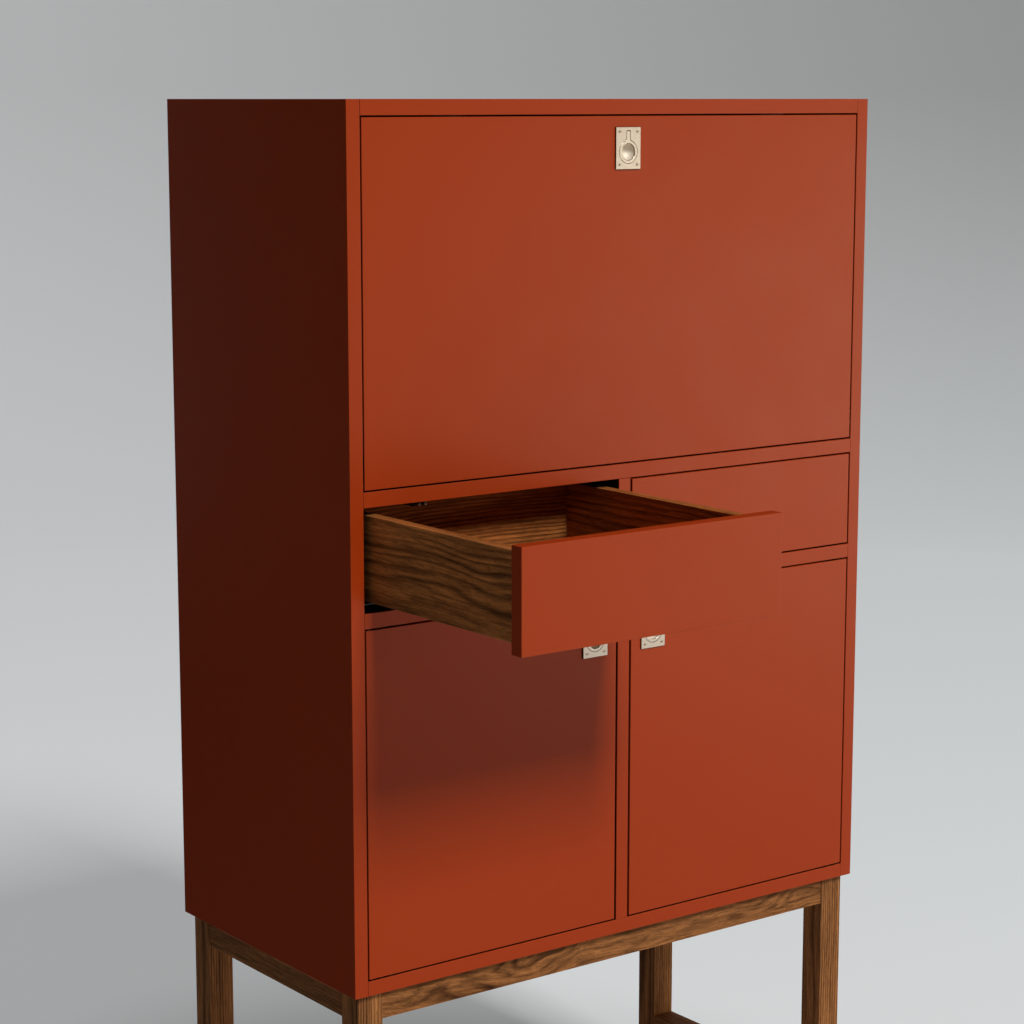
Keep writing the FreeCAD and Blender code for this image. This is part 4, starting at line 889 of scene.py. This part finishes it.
def walnut_for(node_name, axis, slide, swirl, core, light):
    """The walnut of one board, sawn from the tree at a slide, beside or over its core."""
    material, tree, shader, place = new_material("walnut_" + node_name)
    centre, half_size = board_form(node_name)
    grain = grain_place(tree, place, centre, axis, slide)
    if node_name in DRAWER_BOXES:
        grain = turned_between_sides(tree, place, centre, half_size, grain, slide)
    sawn = {
        "Vector": grain,
        "Core": slide + core,
        "Swirl": swirl,
        "Light": light,
        "Dark": WALNUT_DARK,
    }
    wood = use_group(tree, walnut_group, sawn)
    worn = sum_of(tree, "MULTIPLY", edge_of(tree, place, centre, half_size), RUBBED_SHARE)
    wire(
        tree,
        shader.inputs,
        {
            "Base Color": mixed(tree, worn, wood["Color"], WALNUT_RUBBED),
            "Roughness": wood["Roughness"],
            "Specular IOR Level": WALNUT_SHINE,
            "Normal": bumped(tree, wood["Height"], GRAIN_RISE),
        },
    )
    return material


print("worn edges are", WORN_WIDTH * 1000, "mm wide")

# %% [markdown]
# The legs are paler than the rails, and the drawers are the deepest. The front rail was sawn
# close over the core, which gives it the wide swirls that catch the eye. All the others were
# sawn beside the core and run calmer and straighter.

# %% The walnut boards
PALE_WALNUT = (0.38, 0.153, 0.050, 1)
BROWN_WALNUT = (0.33, 0.130, 0.042, 1)
DEEP_WALNUT = (0.50, 0.170, 0.042, 1)
BESIDE_CORE = Vector((0.05, 0.010, -0.050))
OVER_CORE = Vector((0.05, 0.022, 0.004))
BOARD_STEP = Vector((1.7, 0.31, 0.23))
CALM = 0.006
FLOWING = 0.014
SWIRLING = 0.055
WALNUT_BOARDS = {
    "leg_front_left": ("Z", CALM, PALE_WALNUT),
    "leg_front_right": ("Z", CALM, PALE_WALNUT),
    "leg_back_left": ("Z", CALM, PALE_WALNUT),
    "leg_back_right": ("Z", CALM, PALE_WALNUT),
    "rail_front": ("X", SWIRLING, BROWN_WALNUT),
    "rail_back": ("X", FLOWING, BROWN_WALNUT),
    "rail_left": ("Y", CALM, BROWN_WALNUT),
    "rail_right": ("Y", CALM, BROWN_WALNUT),
    "stretcher_left": ("Y", CALM, BROWN_WALNUT),
    "stretcher_right": ("Y", CALM, BROWN_WALNUT),
    "bar_floor_board": ("X", FLOWING, DEEP_WALNUT),
    "bar_shelf": ("X", FLOWING, DEEP_WALNUT),
    "cupboard_shelves": ("X", FLOWING, DEEP_WALNUT),
    "drawer_left_box": ("Y", FLOWING, DEEP_WALNUT),
    "drawer_right_box": ("Y", FLOWING, DEEP_WALNUT),
    "drawer_left_bottom": ("X", FLOWING, DEEP_WALNUT),
    "drawer_right_bottom": ("X", FLOWING, DEEP_WALNUT),
}
for number, (node_name, (axis, swirl, light)) in enumerate(WALNUT_BOARDS.items()):
    core = OVER_CORE if swirl == SWIRLING else BESIDE_CORE
    dress(node_name, walnut_for(node_name, axis, BOARD_STEP * number, swirl, core, light))
print("walnut boards:", len(WALNUT_BOARDS))

# %% [markdown]
# ## Metal
#
# The pulls are pale nickel. The hinges, stays and shelf pins are bronzed and the runners are
# dark, because no bright metal shows in the open drawer's bay. Brushing is a fine noise drawn
# out one way, which changes the gloss and the height together. An anisotropic shader would
# smear the reflections as well, but at this distance the streaks do it.

# %% The brushed metal group
brushed_group, given, made = new_group(
    "brushed_metal",
    [("Vector", "Vector", None), ("Stretch", "Vector", None)],
    [("Height", "Float"), ("Gloss Streak", "Float")],
)
tree = brushed_group
brush_marks = noise(tree, given["Vector"], given["Stretch"], detail=3.0)
wire(tree, made, {"Height": brush_marks, "Gloss Streak": swung(tree, brush_marks, 0, 1)})
print("group:", brushed_group.name)

# %% [markdown]
# A plain metal needs a colour, a direction for its brushing, as a stretch of the noise, a rise,
# and a smooth and a rough level. The pulls go on from the same start with more than one surface.

# %% The plain metals
NICKEL = (0.44, 0.375, 0.335, 1)
SCREW_NICKEL = (0.40, 0.31, 0.21, 1)
HIDDEN_BRONZE = (0.055, 0.040, 0.030, 1)
DARK_STEEL = (0.060, 0.060, 0.064, 1)
TUMBLED = {"stretch": (900, 900, 900), "rise": 0.000002}
TURNED = {"stretch": (2200, 2200, 2200), "rise": 0.000004}
ROLLED = {"stretch": (300, 3000, 300), "rise": 0.000005}
DRAWN = {"stretch": (400, 60, 400), "rise": 0.000008}


def brushed_material(name, stretch, rise):
    """A metal material with its brushed height, and its gloss streaks to go on with."""
    material, tree, shader, place = new_material(name)
    brushed = use_group(tree, brushed_group, {"Vector": place, "Stretch": stretch})
    wire(tree, shader.inputs, {"Metallic": 1.0, "Normal": bumped(tree, brushed["Height"], rise)})
    return material, tree, shader, place, brushed["Gloss Streak"]


def metal(name, colour, brushing, smooth, rough):
    """A plain metal, between its smooth and its rough level."""
    material, tree, shader, place, streak = brushed_material(name, **brushing)
    roughness = ranged(tree, streak, 0, 1, smooth, rough)
    wire(tree, shader.inputs, {"Base Color": colour, "Roughness": roughness})
    return material


ring_nickel = metal("ring_nickel", NICKEL, TUMBLED, smooth=0.24, rough=0.32)
screw_nickel = metal("screw_nickel", SCREW_NICKEL, TURNED, smooth=0.3, rough=0.45)
hinge_bronze = metal("hinge_bronze", HIDDEN_BRONZE, ROLLED, smooth=0.35, rough=0.5)
dark_steel = metal("zinc_steel", DARK_STEEL, DRAWN, smooth=0.45, rough=0.6)
print("metals:", ring_nickel.name, screw_nickel.name, hinge_bronze.name, dark_steel.name)

# %% [markdown]
# A pull's plate has three surfaces. Its face is brushed. Its cup was pressed in and is duller,
# and scatters the light like satin; its paler colour is a painted reflection. Its thin sides are
# coloured nearly black, a painted shade that draws a dark line round the plate. A plate could be
# split into three meshes, but each surface can be told from where it lies.

# %% The plate of a pull
CUP_PALE_SHEEN = (0.80, 0.71, 0.58, 1)
CUP_RIM = 0.001
CUP_ROUGHER = 0.34
CUP_METAL_SHARE = 0.5
SIDE_SHADE = (0.020, 0.015, 0.012, 1)
SIDE_SHADE_WIDTH = 0.00045
PLATE_SMOOTH = 0.26
PLATE_ROUGH = 0.36
BRUSHED_ACROSS = {"stretch": (160, 160, 5200), "rise": 0.000006}


def plate_for(pull):
    """The nickel of a plate: brushed face, satin cup with painted reflection, sides in painted shade.
    """
    node_name = pull + "_pull_plate"
    material, tree, shader, place, streak = brushed_material("plate_nickel_" + pull, **BRUSHED_ACROSS)
    depths = depths_in(tree, place, *board_form(node_name))
    from_side = sum_of(tree, "MINIMUM", depths["X"], depths["Z"])
    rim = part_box(node_name)[0].y + CUP_RIM
    in_cup = ranged(tree, parts_of(tree, place)["Y"], rim, rim + CUP_RIM)
    # The cup's paler colour is a painted reflection.
    colour = mixed(tree, in_cup, NICKEL, CUP_PALE_SHEEN)
    # The plate's thin sides get a painted shade.
    colour = mixed(tree, ranged(tree, from_side, 0, SIDE_SHADE_WIDTH, 1, 0), colour, SIDE_SHADE)
    roughness = ranged(tree, streak, 0, 1, PLATE_SMOOTH, PLATE_ROUGH)
    wire(
        tree,
        shader.inputs,
        {
            "Base Color": colour,
            "Metallic": ranged(tree, in_cup, 0, 1, 1, CUP_METAL_SHARE),
            "Roughness": sum_of(tree, "MULTIPLY_ADD", in_cup, CUP_ROUGHER, roughness),
        },
    )
    return material


print("a cup starts", CUP_RIM * 1000, "mm behind its plate's face")

# %% [markdown]
# The four screws of a plate are nickel too, and the middle of each is dark: a painted shade of
# its slot. They share a piece of the frame with the ring's pin, and with the strike and the hinge
# screws of the same board. They could be cut apart, but a frame piece keeps its mesh. So the
# shaded middles lie as far in from the plate's corners as its screws do, and whatever lies beside
# the plate is bronzed like the hinges.

# %% The screws of a pull
SCREW_INSET = 0.0055
SCREW_SLOT_SHADE = (0.075, 0.036, 0.013, 1)
SLOT_SHADE_RADIUS = 0.0014
SCREW_SMOOTH = 0.3
SCREW_ROUGH = 0.45
PULLS = ("flap", "door_left", "door_right")


def screws_for(pull):
    """Nickel screws with painted shade in their middles, wherever the four screws of a plate lie."""
    material, tree, shader, place, streak = brushed_material("screw_nickel_" + pull, **TURNED)
    depths = depths_in(tree, place, *board_form(pull + "_pull_plate"))
    across = sum_of(tree, "SUBTRACT", depths["X"], SCREW_INSET)
    upward = sum_of(tree, "SUBTRACT", depths["Z"], SCREW_INSET)
    from_middle = add_node(tree, "CombineXYZ", {"X": across, "Z": upward}).outputs[0]
    from_middle = vector_of(tree, "LENGTH", from_middle)
    # The middle of each screw gets a painted shade of its slot.
    dark = ranged(tree, from_middle, SLOT_SHADE_RADIUS / 2, SLOT_SHADE_RADIUS, 1, 0)
    colour = mixed(tree, dark, NICKEL, SCREW_SLOT_SHADE)
    from_side = sum_of(tree, "MINIMUM", depths["X"], depths["Z"])
    beside_plate = sum_of(tree, "LESS_THAN", from_side, 0.0)
    colour = mixed(tree, beside_plate, colour, HIDDEN_BRONZE)
    roughness = ranged(tree, streak, 0, 1, SCREW_SMOOTH, SCREW_ROUGH)
    wire(tree, shader.inputs, {"Base Color": colour, "Roughness": roughness})
    return material


for pull in PULLS:
    dress(pull + "_pull_plate", plate_for(pull))
    dress(pull + "_fixings", screws_for(pull))
    dress(pull + "_pull_ring", ring_nickel)
print("pulls:", len(PULLS))

# %% [markdown]
# ## Plastic and beech
#
# The catches, latches and glides are moulded in black plastic, whose skin has a fine grit from
# the mould. The dowels are beech, a pale and quiet wood. It could have a group of its own, but
# few see a dowel: the walnut group does it, with a pale colour and fewer pores.

# %% Plastic and beech
MOULDED_BLACK = (0.012, 0.012, 0.013, 1)
GRIT_SCALE = 2600.0
GRIT_RISE = 0.00001
PLASTIC_SMOOTH = 0.42
PLASTIC_ROUGH = 0.55
BEECH_LIGHT = (0.55, 0.36, 0.20, 1)
BEECH_DARK = (0.40, 0.24, 0.12, 1)
BEECH_SWIRL = 0.004
BEECH_PORES = 0.4

plastic, tree, shader, place = new_material("black_plastic")
grit = noise(tree, place, scale=GRIT_SCALE, detail=2.0)
wire(
    tree,
    shader.inputs,
    {
        "Base Color": MOULDED_BLACK,
        "Roughness": swung(tree, grit, PLASTIC_SMOOTH, PLASTIC_ROUGH),
        "Normal": bumped(tree, grit, GRIT_RISE),
    },
)
beech, tree, shader, place = new_material("beech_dowels")
turned = {
    "Vector": place,
    "Swirl": BEECH_SWIRL,
    "Light": BEECH_LIGHT,
    "Dark": BEECH_DARK,
    "Pores": BEECH_PORES,
}
wood = use_group(tree, walnut_group, turned)
wire(tree, shader.inputs, {"Base Color": wood["Color"], "Roughness": wood["Roughness"]})
print("materials:", plastic.name, beech.name)

# %% [markdown]
# ## The small fittings
#
# What is left are the fittings inside the cabinet. Each takes one of the materials above. A
# check at the end names any piece that has been forgotten.

# %% Dress the fittings
FITTINGS = {
    "cabinet_screws": screw_nickel,
    "hinge_plates": hinge_bronze,
    "flap_hinge_leaves": hinge_bronze,
    "door_left_hinge_leaves": hinge_bronze,
    "door_right_hinge_leaves": hinge_bronze,
    "flap_stay_brackets": hinge_bronze,
    "stay_arm_left": hinge_bronze,
    "stay_arm_right": hinge_bronze,
    "shelf_pins": hinge_bronze,
    "latch_plungers_left": ring_nickel,
    "latch_plungers_right": ring_nickel,
    "runner_rails": dark_steel,
    "drawer_left_runners": dark_steel,
    "drawer_right_runners": dark_steel,
    "runner_middles_left": dark_steel,
    "runner_middles_right": dark_steel,
    "magnet_catches": plastic,
    "touch_latches": plastic,
    "foot_glides": plastic,
    "dowels": beech,
}
for node_name, material in FITTINGS.items():
    dress(node_name, material)
print("dressed:", len(dressed), "undressed:", sorted(set(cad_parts) - dressed))
